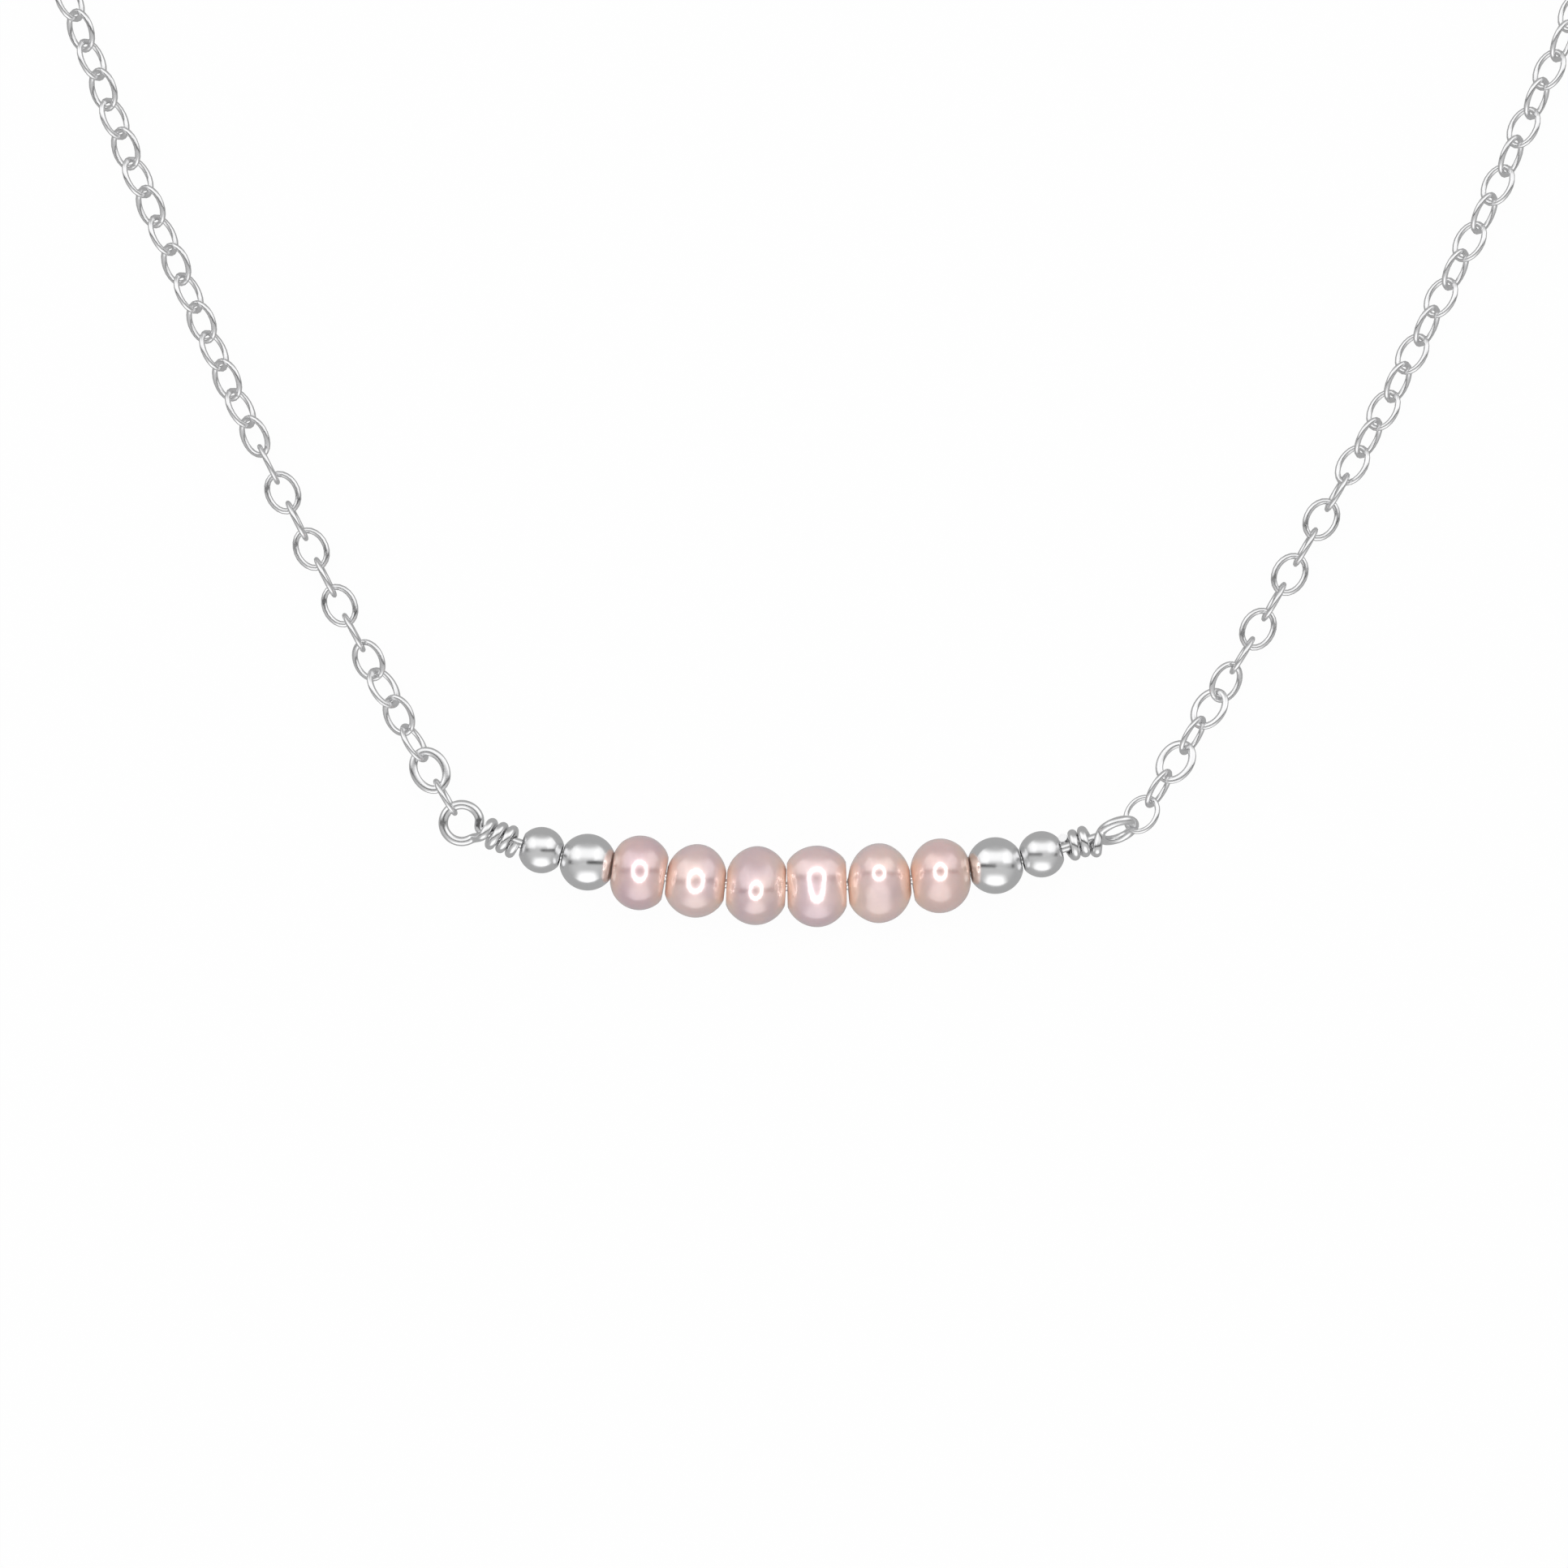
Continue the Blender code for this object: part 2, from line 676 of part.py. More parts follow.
def make_clasp_body(frame):
    """A claw with a thinner eye, cut for its opening, the gate, the lever's slot and the pin."""
    middle = ((2 * CLASP_START + CLASP_LENGTH) / 2, 0)
    claw = oval(middle, CLASP_LENGTH / 2, CLASP_WIDTH / 2, 40)
    body = prism("clasp_body", claw, 0, CLASP_THICKNESS, frame)
    eye_low = (CLASP_THICKNESS - EYE_THICKNESS) / 2
    eye_at = (-EYE_SET_BACK, 0)
    eye = disc(eye_at, EYE_HOLE + 2 * EYE_RIM, 24)
    cut(body, prism("cut_eye", eye, eye_low, eye_low + EYE_THICKNESS, frame), "UNION")
    low, high = -CUT_OVER, CLASP_THICKNESS + CUT_OVER
    half = (OPENING_END - OPENING_START) / 2
    opening = oval((OPENING_START + half, 0), half, CLASP_WIDTH / 2 - CLASP_SPINE, 32)
    gate = box_outline(
        PIN_ALONG + GATE_START, GATE_END, PIN_ACROSS - LEVER_WIDTH, CLASP_WIDTH
    )
    slot = box_outline(
        SLOT_START, PIN_ALONG + SLOT_AHEAD_OF_PIN, PIN_ACROSS - LEVER_WIDTH, CLASP_WIDTH
    )
    pin_hole = disc((PIN_ALONG, PIN_ACROSS), PIN_DIAMETER + 2 * PIN_PLAY, 16)
    cut(body, prism("cut_eye_hole", disc(eye_at, EYE_HOLE, 20), low, high, frame))
    cut(body, prism("cut_opening", opening, low, high, frame))
    cut(body, prism("cut_gate", gate, low, high, frame))
    cut(body, prism("cut_slot", slot, SLOT_LOW, SLOT_LOW + SLOT_HEIGHT, frame))
    cut(body, prism("cut_pin_hole", pin_hole, low, high, frame))


def make_lever(pin_frame):
    """The sprung gate: a round root on the pin, an arm to the nose and a thumb piece."""
    half, root = LEVER_WIDTH / 2, LEVER_ROOT / 2
    tip = GATE_END - PIN_ALONG - LEVER_PLAY
    thumb_end = THUMB_START + THUMB_LENGTH
    first, last = LEVER_ROOT_ARC
    turns = [math.radians(first + (last - first) * i / ROOT_STEPS) for i in range(ROOT_STEPS + 1)]
    outline = [(root * math.cos(a), root * math.sin(a)) for a in turns]
    outline += [
        (LEVER_ROOT, -half),
        (tip - half, -half),
        (tip, -half / 2),
        (tip, LEVER_NOSE),
        (thumb_end + half, half),
        (thumb_end, THUMB_RISE - THUMB_ROUND),
        (thumb_end - THUMB_ROUND, THUMB_RISE),
        (THUMB_START + THUMB_ROUND, THUMB_RISE - THUMB_ROUND / 2),
        (THUMB_START, half),
    ]
    low, high = SLOT_LOW + LEVER_PLAY, SLOT_LOW + SLOT_HEIGHT - LEVER_PLAY
    lever = prism("clasp_lever", outline, low, high, pin_frame)
    bore = disc((0, 0), PIN_DIAMETER + 2 * PIN_PLAY, 16)
    cut(lever, prism("cut_lever_hole", bore, -CUT_OVER, low + CUT_OVER, pin_frame))


def make_spring(frame):
    """A coil in the slot, between the slot's back wall and the lever's root."""
    radius = (SPRING_DIAMETER - SPRING_WIRE) / 2
    start = SLOT_START + SPRING_WIRE
    end = PIN_ALONG - LEVER_ROOT / 2 - SPRING_PLAY - SPRING_WIRE
    count = SPRING_TURNS * 10
    path = []
    for i in range(count + 1):
        a = 2 * math.pi * SPRING_TURNS * i / count
        u = start + (end - start) * i / count
        v, w = PIN_ACROSS + radius * math.cos(a), CLASP_THICKNESS / 2 + radius * math.sin(a)
        path.append(frame @ Vector((u, v, w)))
    rings = swept_rings(path, SPRING_WIRE / 2, 6, False, path[0] - frame.translation)
    verts, faces = skin_rings(rings, False)
    return add_piece("clasp_spring", verts, faces, frame, SPRING_STEEL)


def centre_on_origin():
    """Everything hangs from one empty, set so the middle of the base is the origin."""
    pieces = list(bpy.data.objects)
    corners = [
        obj.matrix_world @ vert.co
        for obj in pieces
        if not obj.hide_render
        for vert in obj.data.vertices
    ]
    low = [min(c[i] for c in corners) for i in range(3)]
    high = [max(c[i] for c in corners) for i in range(3)]
    carrier = bpy.data.objects.new("necklace", None)
    bpy.context.collection.objects.link(carrier)
    for obj in pieces:
        obj.parent = carrier
    carrier.location = (-(low[0] + high[0]) / 2, -(low[1] + high[1]) / 2, -low[2])


def main():
    clear_scene()
    placed, ends = stringing()
    make_bar(ends)
    make_threaded(placed)
    tips = {}
    for side, label in SIDES.items():
        tips[side] = make_chain(side, label, chain_start(side, ends[side]))
    make_end_ring(*tips[1])
    make_clasp(*make_clasp_ring(*tips[-1]))
    bpy.context.view_layer.update()
    centre_on_origin()
    bpy.context.view_layer.update()


main()
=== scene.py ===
"""Finish of a pearl bar necklace: pearls, beads, wire, chain, rings, clasp and a plain studio.

The file is laid out as an add-on. Each operator builds one visible piece, or a group of like
pieces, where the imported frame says, and the panel in the sidebar lists them with their sizes.
"""

import json
import math
from collections import namedtuple

import bmesh
import bpy
import numpy as np
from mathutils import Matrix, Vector, noise

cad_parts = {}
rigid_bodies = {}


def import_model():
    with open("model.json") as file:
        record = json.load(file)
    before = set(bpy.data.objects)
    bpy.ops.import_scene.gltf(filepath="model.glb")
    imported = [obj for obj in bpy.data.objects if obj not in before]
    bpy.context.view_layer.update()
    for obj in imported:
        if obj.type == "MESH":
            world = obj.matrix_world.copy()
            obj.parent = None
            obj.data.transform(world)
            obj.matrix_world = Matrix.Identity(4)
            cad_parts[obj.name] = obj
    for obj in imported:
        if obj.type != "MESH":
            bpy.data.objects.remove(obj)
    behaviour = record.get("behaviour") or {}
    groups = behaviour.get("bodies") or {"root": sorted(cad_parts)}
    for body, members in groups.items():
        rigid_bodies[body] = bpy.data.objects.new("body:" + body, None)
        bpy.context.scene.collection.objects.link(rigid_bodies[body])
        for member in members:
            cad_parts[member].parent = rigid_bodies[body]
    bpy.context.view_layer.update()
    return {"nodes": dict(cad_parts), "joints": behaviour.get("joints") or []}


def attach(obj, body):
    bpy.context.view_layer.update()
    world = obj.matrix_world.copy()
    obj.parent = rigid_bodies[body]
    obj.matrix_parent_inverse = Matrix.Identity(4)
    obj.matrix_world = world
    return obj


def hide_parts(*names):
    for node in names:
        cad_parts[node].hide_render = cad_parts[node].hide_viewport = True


bl_info = {
    "name": "Pearl bar necklace",
    "version": (1, 0, 0),
    "blender": (4, 5, 0),
    "location": "View3D > Sidebar > Necklace",
    "description": "Builds the visible pearls, beads, wire, chain and clasp of a pearl bar necklace",
    "category": "Add Mesh",
}

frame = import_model()

MM = 0.001
UP = Vector((0, 0, 1))
SIDES = {"left": -1, "right": 1}
SINGLE_LINKS = 7
RUNS = 12
LINKS_PER_RUN = 8
JOINTS = {joint["child"]: joint for joint in frame["joints"]}


# Places and sizes read from the frame


def pivot(body):
    return Vector(JOINTS[body]["pos_m"])


def joint_axis(body):
    return Vector(JOINTS[body]["axis"]).normalized()


def corners(node):
    """Every vertex of a CAD node, one row each."""
    mesh = frame["nodes"][node].data
    flat = np.zeros(len(mesh.vertices) * 3)
    mesh.vertices.foreach_get("co", flat)
    return flat.reshape(-1, 3)


def middle_of(node):
    points = corners(node)
    return Vector((points.min(0) + points.max(0)) / 2)


def threaded_size(node):
    """Length along the wire and diameter of a threaded CAD piece."""
    points = corners(node) - np.array(pivot(node))
    along = points @ np.array(joint_axis(node))
    radius = np.sqrt((points**2).sum(1) - along**2)
    return along.max() - along.min(), 2 * radius.max()


class Bar:
    """The arc that the bar wire follows, from the places of the first and last pearl."""

    def __init__(self):
        first, last = pivot("pearl_1"), pivot("pearl_6")
        turn_first = self.heading(joint_axis("pearl_1"))
        turn_last = self.heading(joint_axis("pearl_6"))
        self.radius = (last.x - first.x) / (math.sin(turn_last) - math.sin(turn_first))
        self.height = first.z
        self.centre_x = first.x - self.radius * math.sin(turn_first)
        self.centre_y = first.y + self.radius * math.cos(turn_first)

    @staticmethod
    def heading(direction):
        return math.atan2(direction.y, direction.x)

    def point(self, s):
        a = s / self.radius
        x = self.centre_x + self.radius * math.sin(a)
        y = self.centre_y - self.radius * math.cos(a)
        return Vector((x, y, self.height))

    def tangent(self, s):
        a = s / self.radius
        return Vector((math.cos(a), math.sin(a), 0))

    def stack_end(self, label):
        """Arc length, from the bar's middle, of the outer face of the last bead."""
        node = f"small_bead_{label}"
        length, _ = threaded_size(node)
        return abs(self.heading(joint_axis(node))) * self.radius + length / 2


BAR = Bar()


# Sizes and colours that a user would change


def size(name, description, millimetres):
    return bpy.props.FloatProperty(
        name=name,
        description=description,
        default=millimetres * MM,
        min=0.0,
        precision=5,
        subtype="DISTANCE",
        unit="LENGTH",
    )


def share(name, description, value, top=1.0):
    return bpy.props.FloatProperty(
        name=name, description=description, default=value, min=0.0, max=top
    )


def tone(name, description, value):
    return bpy.props.FloatVectorProperty(
        name=name, description=description, default=value, size=3, min=0, max=1, subtype="COLOR"
    )


class PearlSettings(bpy.types.PropertyGroup):
    bore: size("Drill hole", "Diameter of the hole through each pearl", 0.74)
    unevenness: size("Unevenness", "How far the surface strays from its turned shape", 0.022)
    around: bpy.props.IntProperty(
        name="Steps around", description="Vertices in each ring", default=72, min=12
    )
    along: bpy.props.IntProperty(
        name="Steps along", description="Rings from end to end", default=44, min=8
    )
    roughness: share("Roughness", "Softness of the reflections below the surface", 0.30)
    lustre_roughness: share("Lustre roughness", "Softness of the reflections on the surface", 0.10)


class SilverSettings(bpy.types.PropertyGroup):
    colour: tone("Silver", "Colour of the polished silver", (0.86, 0.86, 0.865))
    spring_colour: tone("Spring steel", "Colour of the clasp's spring", (0.60, 0.60, 0.62))
    bead_roughness: share("Bead roughness", "Polish of the round beads", 0.20)
    wire_roughness: share("Wire roughness", "Polish of the bar wire and the rings", 0.22)
    chain_roughness: share("Chain roughness", "Polish of the chain links", 0.22)
    clasp_roughness: share("Clasp roughness", "Polish of the clasp", 0.20)


class WireSettings(bpy.types.PropertyGroup):
    diameter: size("Wire", "Diameter of the bar wire", 0.50)
    loop_hole: size("Loop hole", "Inner diameter of the wire loops", 1.45)
    neck: size("Neck", "Straight stretch between the wraps and the loop", 0.155)
    wrap_play: size("Wrap play", "Gap between the core and the wire wrapped on it", 0.08)
    wrap_gap: size("Wrap gap", "Gap between neighbouring wraps", 0.06)
    bead_gap: size("Bead gap", "Gap between the last wrap and the bead", 0.08)


class ChainSettings(bpy.types.PropertyGroup):
    link_length: size("Link length", "Outer length of a link", 2.36)
    link_width: size("Link width", "Outer width of a link", 1.88)
    link_wire: size("Link wire", "Thickness of the link wire", 0.28)
    band: size("Link band", "Width of the link wire across the link's face", 0.32)
    floor_gap: size("Surface gap", "How far links stay above the surface", 0.01)
    restless: bpy.props.FloatProperty(
        name="Restlessness",
        description="How far links roll from their regular places",
        default=math.radians(6),
        subtype="ANGLE",
        unit="ROTATION",
    )


class ClaspSettings(bpy.types.PropertyGroup):
    bead_hole: size("Bead hole", "Diameter of the hole through the round beads", 1.10)
    ring_slit: size("Ring slit", "Width of the cut in each jump ring", 0.03)
    voxel: size("Voxel", "Fineness of the rounded clasp meshes", 0.055)


class StageSettings(bpy.types.PropertyGroup):
    floor_size: size("Floor", "Side of the floor", 3000.0)
    floor_colour: tone("Floor colour", "Colour of the floor", (0.93, 0.93, 0.93))
    lamp_power: bpy.props.FloatProperty(
        name="Lamp power", description="Power of the overhead softbox", default=1.1, unit="POWER"
    )
    fill: share("Fill", "Strength of the even light from all around", 0.68)
    camera_distance: size("Camera distance", "From the bar wire up to the lens", 230.3)
    lens: bpy.props.FloatProperty(
        name="Lens", description="Focal length in millimetres", default=100.0
    )


# Node trees


class Nodes:
    """Adds nodes to a tree, and links or sets their inputs."""

    def __init__(self, tree):
        self.tree = tree

    def add(self, kind, inputs=None, **properties):
        node = self.tree.nodes.new(kind)
        for name, value in properties.items():
            setattr(node, name, value)
        self.fill(node, inputs or {})
        return node

    def fill(self, node, values):
        for key, value in values.items():
            self.feed(node.inputs[key], value)

    def feed(self, socket, value):
        if isinstance(value, bpy.types.NodeSocket):
            self.tree.links.new(value, socket)
        else:
            socket.default_value = value

    def math(self, operation, first, second=0.0, clamp=False):
        node = self.add("ShaderNodeMath", {0: first, 1: second}, operation=operation)
        node.use_clamp = clamp
        return node.outputs[0]

    def ramp(self, value, low, high, start=0.0, end=1.0):
        """A smooth change from start to end while value goes from low to high."""
        node = self.add(
            "ShaderNodeMapRange",
            {"Value": value, "From Min": low, "From Max": high, "To Min": start, "To Max": end},
            interpolation_type="SMOOTHSTEP",
        )
        return node.outputs["Result"]

    def mix(self, factor, first, second):
        node = self.add("ShaderNodeMix", data_type="RGBA")
        colours = [s for s in node.inputs if s.type == "RGBA"]
        self.feed(node.inputs["Factor"], factor)
        self.feed(colours[0], first)
        self.feed(colours[1], second)
        return next(s for s in node.outputs if s.type == "RGBA")

    def blend(self, factor, first, second):
        node = self.add("ShaderNodeMix", data_type="FLOAT")
        self.feed(node.inputs["Factor"], factor)
        self.feed(node.inputs["A"], first)
        self.feed(node.inputs["B"], second)
        return node.outputs["Result"]

    def noise(self, vector, scale, detail=2.0, roughness=0.5):
        node = self.add(
            "ShaderNodeTexNoise",
            {"Vector": vector, "Scale": scale, "Detail": detail, "Roughness": roughness},
        )
        return node.outputs["Fac"]


def new_group(name, kind, inputs, outputs):
    """A node group with its sockets, its Nodes helper and its input and output nodes."""
    tree = bpy.data.node_groups.new(name, kind)
    for label, socket, value in inputs:
        item = tree.interface.new_socket(label, in_out="INPUT", socket_type=socket)
        if value is not None:
            item.default_value = value
    for label, socket in outputs:
        tree.interface.new_socket(label, in_out="OUTPUT", socket_type=socket)
    nodes = Nodes(tree)
    return tree, nodes, nodes.add("NodeGroupInput").outputs, nodes.add("NodeGroupOutput").inputs


SURFACE = (
    ("Color", "NodeSocketColor"),
    ("Roughness", "NodeSocketFloat"),
    ("Height", "NodeSocketFloat"),
)


def nacre_group():
    """Layered nacre: body colour, overtone patches, a painted peach shade at the drilled ends where the
    pearls meet, and fine growth marks.
    """
    name = "Nacre layers"
    if name in bpy.data.node_groups:
        return bpy.data.node_groups[name]
    tree, nodes, given, made = new_group(
        name,
        "ShaderNodeTree",
        (
            ("Body", "NodeSocketColor", (0.7, 0.5, 0.47, 1)),
            ("Overtone", "NodeSocketColor", (0.6, 0.42, 0.46, 1)),
            # Painted peach shade at the ends, where each pearl meets its neighbours
            ("Warm End", "NodeSocketColor", (0.75, 0.5, 0.36, 1)),
            ("Patch Scale", "NodeSocketFloat", 420.0),
            ("Base Roughness", "NodeSocketFloat", 0.3),
        ),
        SURFACE,
    )
    place = nodes.add("ShaderNodeTexCoord").outputs["Object"]
    along = nodes.add("ShaderNodeAttribute", attribute_name="along").outputs["Fac"]
    patches = nodes.noise(place, given["Patch Scale"], 1.5)
    overtone = nodes.ramp(patches, 0.40, 0.66)
    # A painted peach shade grows towards the ends, where the pearls meet and shade each other
    end = nodes.ramp(nodes.math("ABSOLUTE", along), 0.45, 1.0)
    skin = nodes.mix(nodes.math("MULTIPLY", overtone, 0.65), given["Body"], given["Overtone"])
    skin = nodes.mix(nodes.math("MULTIPLY", end, 0.8), skin, given["Warm End"])
    freckles = nodes.ramp(nodes.noise(place, 1400.0, 2.0), 0.3, 0.7, 0.97, 1.02)
    shade = nodes.add("ShaderNodeVectorMath", {0: skin}, operation="SCALE")
    nodes.feed(shade.inputs["Scale"], freckles)
    nodes.feed(made["Color"], shade.outputs[0])
    growth = nodes.add(
        "ShaderNodeTexNoise",
        {"W": nodes.math("MULTIPLY", along, 7.0), "Scale": 1.0, "Detail": 3.0},
        noise_dimensions="1D",
    ).outputs["Fac"]
    grain = nodes.noise(place, 3000.0, 1.0)
    nodes.feed(made["Height"], nodes.blend(0.35, growth, grain))
    grit = nodes.ramp(grain, 0.3, 0.7, 0.94, 1.06)
    nodes.feed(made["Roughness"], nodes.math("MULTIPLY", given["Base Roughness"], grit))
    return tree


def polish_group():
    """Hand-polished metal: faint hazy patches and hair-fine marks."""
    name = "Polish marks"
    if name in bpy.data.node_groups:
        return bpy.data.node_groups[name]
    tree, nodes, given, made = new_group(
        name,
        "ShaderNodeTree",
        (
            ("Colour", "NodeSocketColor", (0.86, 0.86, 0.87, 1)),
            ("Base Roughness", "NodeSocketFloat", 0.15),
            ("Haze Scale", "NodeSocketFloat", 700.0),
        ),
        SURFACE,
    )
    place = nodes.add("ShaderNodeTexCoord").outputs["Object"]
    haze = nodes.noise(place, given["Haze Scale"], 3.0)
    stretched = nodes.add(
        "ShaderNodeMapping", {"Vector": place, "Scale": (1.0, 5.0, 5.0), "Rotation": (0.3, 0.5, 0.9)}
    ).outputs[0]
    marks = nodes.noise(stretched, 2400.0, 4.0, 0.65)
    dulled = nodes.ramp(haze, 0.3, 0.8, 0.0, 0.10)
    nodes.feed(made["Color"], nodes.mix(dulled, given["Colour"], (0.7, 0.7, 0.72, 1)))
    nodes.feed(
        made["Roughness"],
        nodes.math("MULTIPLY", given["Base Roughness"], nodes.ramp(haze, 0.3, 0.75, 0.8, 1.35)),
    )
    nodes.feed(made["Height"], marks)
    return tree


def new_material(name):
    """An empty material with its helper and its shader."""
    made = bpy.data.materials.new(name)
    made.use_nodes = True
    return made, Nodes(made.node_tree), made.node_tree.nodes["Principled BSDF"]


def rgba(colour):
    return (*colour, 1.0)


def add_bump(nodes, shader, height, depth, strength):
    bump = nodes.add("ShaderNodeBump", {"Height": height, "Distance": depth, "Strength": strength})
    nodes.feed(shader.inputs["Normal"], bump.outputs[0])


def metal(name, colour, roughness, haze_scale=700.0):
    """Polished metal that shares the polish marks."""
    if name in bpy.data.materials:
        return bpy.data.materials[name]
    made, nodes, shader = new_material(name)
    marks = nodes.add("ShaderNodeGroup", node_tree=polish_group())
    look = {"Colour": rgba(colour), "Base Roughness": roughness, "Haze Scale": haze_scale}
    nodes.fill(marks, look)
    nodes.feed(shader.inputs["Base Color"], marks.outputs["Color"])
    nodes.feed(shader.inputs["Roughness"], marks.outputs["Roughness"])
    shader.inputs["Metallic"].default_value = 1.0
    add_bump(nodes, shader, marks.outputs["Height"], 0.002 * MM, 0.6)
    made.diffuse_color = rgba(colour)
    return made


def pearl_material(name, character, settings):
    """Nacre with a clear lustrous skin over a soft, slightly translucent body."""
    made, nodes, shader = new_material(name)
    layers = nodes.add("ShaderNodeGroup", node_tree=nacre_group())
    colours = {
        "Body": rgba(character.body),
        "Overtone": rgba(character.overtone),
        # The end colour is a painted peach shade where the pearls meet
        "Warm End": rgba(character.warm),
        "Base Roughness": settings.roughness,
    }
    nodes.fill(layers, colours)
    nacre = {
        "Base Color": layers.outputs["Color"],
        "Roughness": layers.outputs["Roughness"],
        "IOR": 1.75,
        "Metallic": 0.25,
        "Subsurface Weight": 0.25,
        "Subsurface Radius": (1.0, 0.55, 0.45),
        "Subsurface Scale": 0.35 * MM,
        "Coat Weight": 1.0,
        "Coat IOR": 2.0,
        "Coat Roughness": settings.lustre_roughness,
        "Sheen Weight": 0.12,
        "Sheen Roughness": 0.4,
        "Sheen Tint": (1.0, 0.82, 0.84, 1),
    }
    nodes.fill(shader, nacre)
    add_bump(nodes, shader, layers.outputs["Height"], 0.004 * MM, 0.18)
    made.diffuse_color = rgba(character.body)
    return made


# Geometry Nodes trees


def geometry_tree(name, inputs):
    sockets = (("Geometry", "NodeSocketGeometry", None), *inputs)
    return new_group(name, "GeometryNodeTree", sockets, (("Geometry", "NodeSocketGeometry"),))


def finish_tree(nodes, geometry, given, made):
    """Ends a tree with smooth shading, real instances and its material."""
    smooth = nodes.add("GeometryNodeSetShadeSmooth", {"Geometry": geometry}).outputs[0]
    real = nodes.add("GeometryNodeRealizeInstances", {"Geometry": smooth}).outputs[0]
    finished = nodes.add("GeometryNodeSetMaterial", {"Geometry": real})
    nodes.feed(finished.inputs["Material"], given["Material"])
    nodes.feed(made["Geometry"], finished.outputs[0])


def wire_tree():
    """Draws round wire along a line of edges."""
    name = "Drawn wire"
    if name in bpy.data.node_groups:
        return bpy.data.node_groups[name]
    tree, nodes, given, made = geometry_tree(
        name,
        (
            ("Diameter", "NodeSocketFloat", 0.5 * MM),
            ("Sides", "NodeSocketInt", 14),
            ("Material", "NodeSocketMaterial", None),
        ),
    )
    curve = nodes.add("GeometryNodeMeshToCurve", {"Mesh": given["Geometry"]}).outputs[0]
    radius = nodes.math("DIVIDE", given["Diameter"], 2.0)
    section = nodes.add(
        "GeometryNodeCurvePrimitiveCircle", {"Resolution": given["Sides"], "Radius": radius}
    ).outputs[0]
    tube = nodes.add(
        "GeometryNodeCurveToMesh", {"Curve": curve, "Profile Curve": section, "Fill Caps": True}
    ).outputs[0]
    finish_tree(nodes, tube, given, made)
    return tree


def link_tree():
    """Puts an oval chain link on every point, turned by the point's own directions."""
    name = "Chain links"
    if name in bpy.data.node_groups:
        return bpy.data.node_groups[name]
    tree, nodes, given, made = geometry_tree(
        name,
        (
            ("Length", "NodeSocketFloat", 2.36 * MM),
            ("Width", "NodeSocketFloat", 1.88 * MM),
            ("Thickness", "NodeSocketFloat", 0.28 * MM),
            ("Band", "NodeSocketFloat", 0.32 * MM),
            ("Steps", "NodeSocketInt", 20),
            ("Sides", "NodeSocketInt", 6),
            ("Material", "NodeSocketMaterial", None),
        ),
    )
    ring = nodes.add(
        "GeometryNodeCurvePrimitiveCircle", {"Resolution": given["Steps"], "Radius": 0.5}
    ).outputs[0]
    stretch = nodes.add(
        "ShaderNodeCombineXYZ",
        {
            "X": nodes.math("SUBTRACT", given["Length"], given["Band"]),
            "Y": nodes.math("SUBTRACT", given["Width"], given["Band"]),
            "Z": 1.0,
        },
    ).outputs[0]
    oval = nodes.add("GeometryNodeTransform", {"Geometry": ring, "Scale": stretch}).outputs[0]
    disc = nodes.add(
        "GeometryNodeCurvePrimitiveCircle", {"Resolution": given["Sides"], "Radius": 0.5}
    ).outputs[0]
    flatten = nodes.add(
        "ShaderNodeCombineXYZ", {"X": given["Band"], "Y": given["Thickness"], "Z": 1.0}
    ).outputs[0]
    section = nodes.add("GeometryNodeTransform", {"Geometry": disc, "Scale": flatten}).outputs[0]
    link = nodes.add("GeometryNodeCurveToMesh", {"Curve": oval, "Profile Curve": section}).outputs[0]

    def direction(attribute):
        named = nodes.add("GeometryNodeInputNamedAttribute", data_type="FLOAT_VECTOR")
        nodes.feed(named.inputs["Name"], attribute)
        return named.outputs["Attribute"]

    turn = nodes.add("FunctionNodeAxesToRotation", primary_axis="X", secondary_axis="Y")
    nodes.feed(turn.inputs[0], direction("way"))
    nodes.feed(turn.inputs[1], direction("across"))
    placed = nodes.add(
        "GeometryNodeInstanceOnPoints",
        {"Points": given["Geometry"], "Instance": link, "Rotation": turn.outputs[0]},
    ).outputs[0]
    finish_tree(nodes, placed, given, made)
    return tree


def grown(name, source, tree, values):
    """A plain object with the mesh that a tree makes from a source mesh."""
    seed = add_object(name + "_seed", source)
    modifier = seed.modifiers.new(tree.name, "NODES")
    modifier.node_group = tree
    for item in tree.interface.items_tree:
        if item.item_type == "SOCKET" and item.in_out == "INPUT" and item.name in values:
            modifier[item.identifier] = values[item.name]
    depsgraph = bpy.context.evaluated_depsgraph_get()
    mesh = bpy.data.meshes.new_from_object(seed.evaluated_get(depsgraph), depsgraph=depsgraph)
    seed.modifiers.remove(modifier)
    bpy.data.objects.remove(seed)
    bpy.data.meshes.remove(source)
    mesh.name = name
    return add_object(name, mesh)


def add_object(name, data):
    obj = bpy.data.objects.new(name, data)
    bpy.context.scene.collection.objects.link(obj)
    return obj


def settle(obj, body, slot, *nodes):
    """Hands a finished piece to the frame."""
    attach(obj, body)
    if nodes:
        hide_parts(*nodes)
    return obj


def line_mesh(name, points):
    mesh = bpy.data.meshes.new(name)
    mesh.from_pydata(points, [(i, i + 1) for i in range(len(points) - 1)], [])
    return mesh


def skin(name, rings, material):
    """A smooth mesh through closed rings of points, the last of which meets the first."""
    sides = len(rings[0])
    count = len(rings)
    faces = []
    for i in range(count):
        a, b = i * sides, ((i + 1) % count) * sides
        faces += [(a + k, a + (k + 1) % sides, b + (k + 1) % sides, b + k) for k in range(sides)]
    mesh = bpy.data.meshes.new(name)
    mesh.from_pydata([tuple(p) for ring in rings for p in ring], [], faces)
    mesh.materials.append(material)
    shell = bmesh.new()
    shell.from_mesh(mesh)
    bmesh.ops.recalc_face_normals(shell, faces=shell.faces)
    shell.to_mesh(mesh)
    shell.free()
    mesh.shade_smooth()
    return mesh
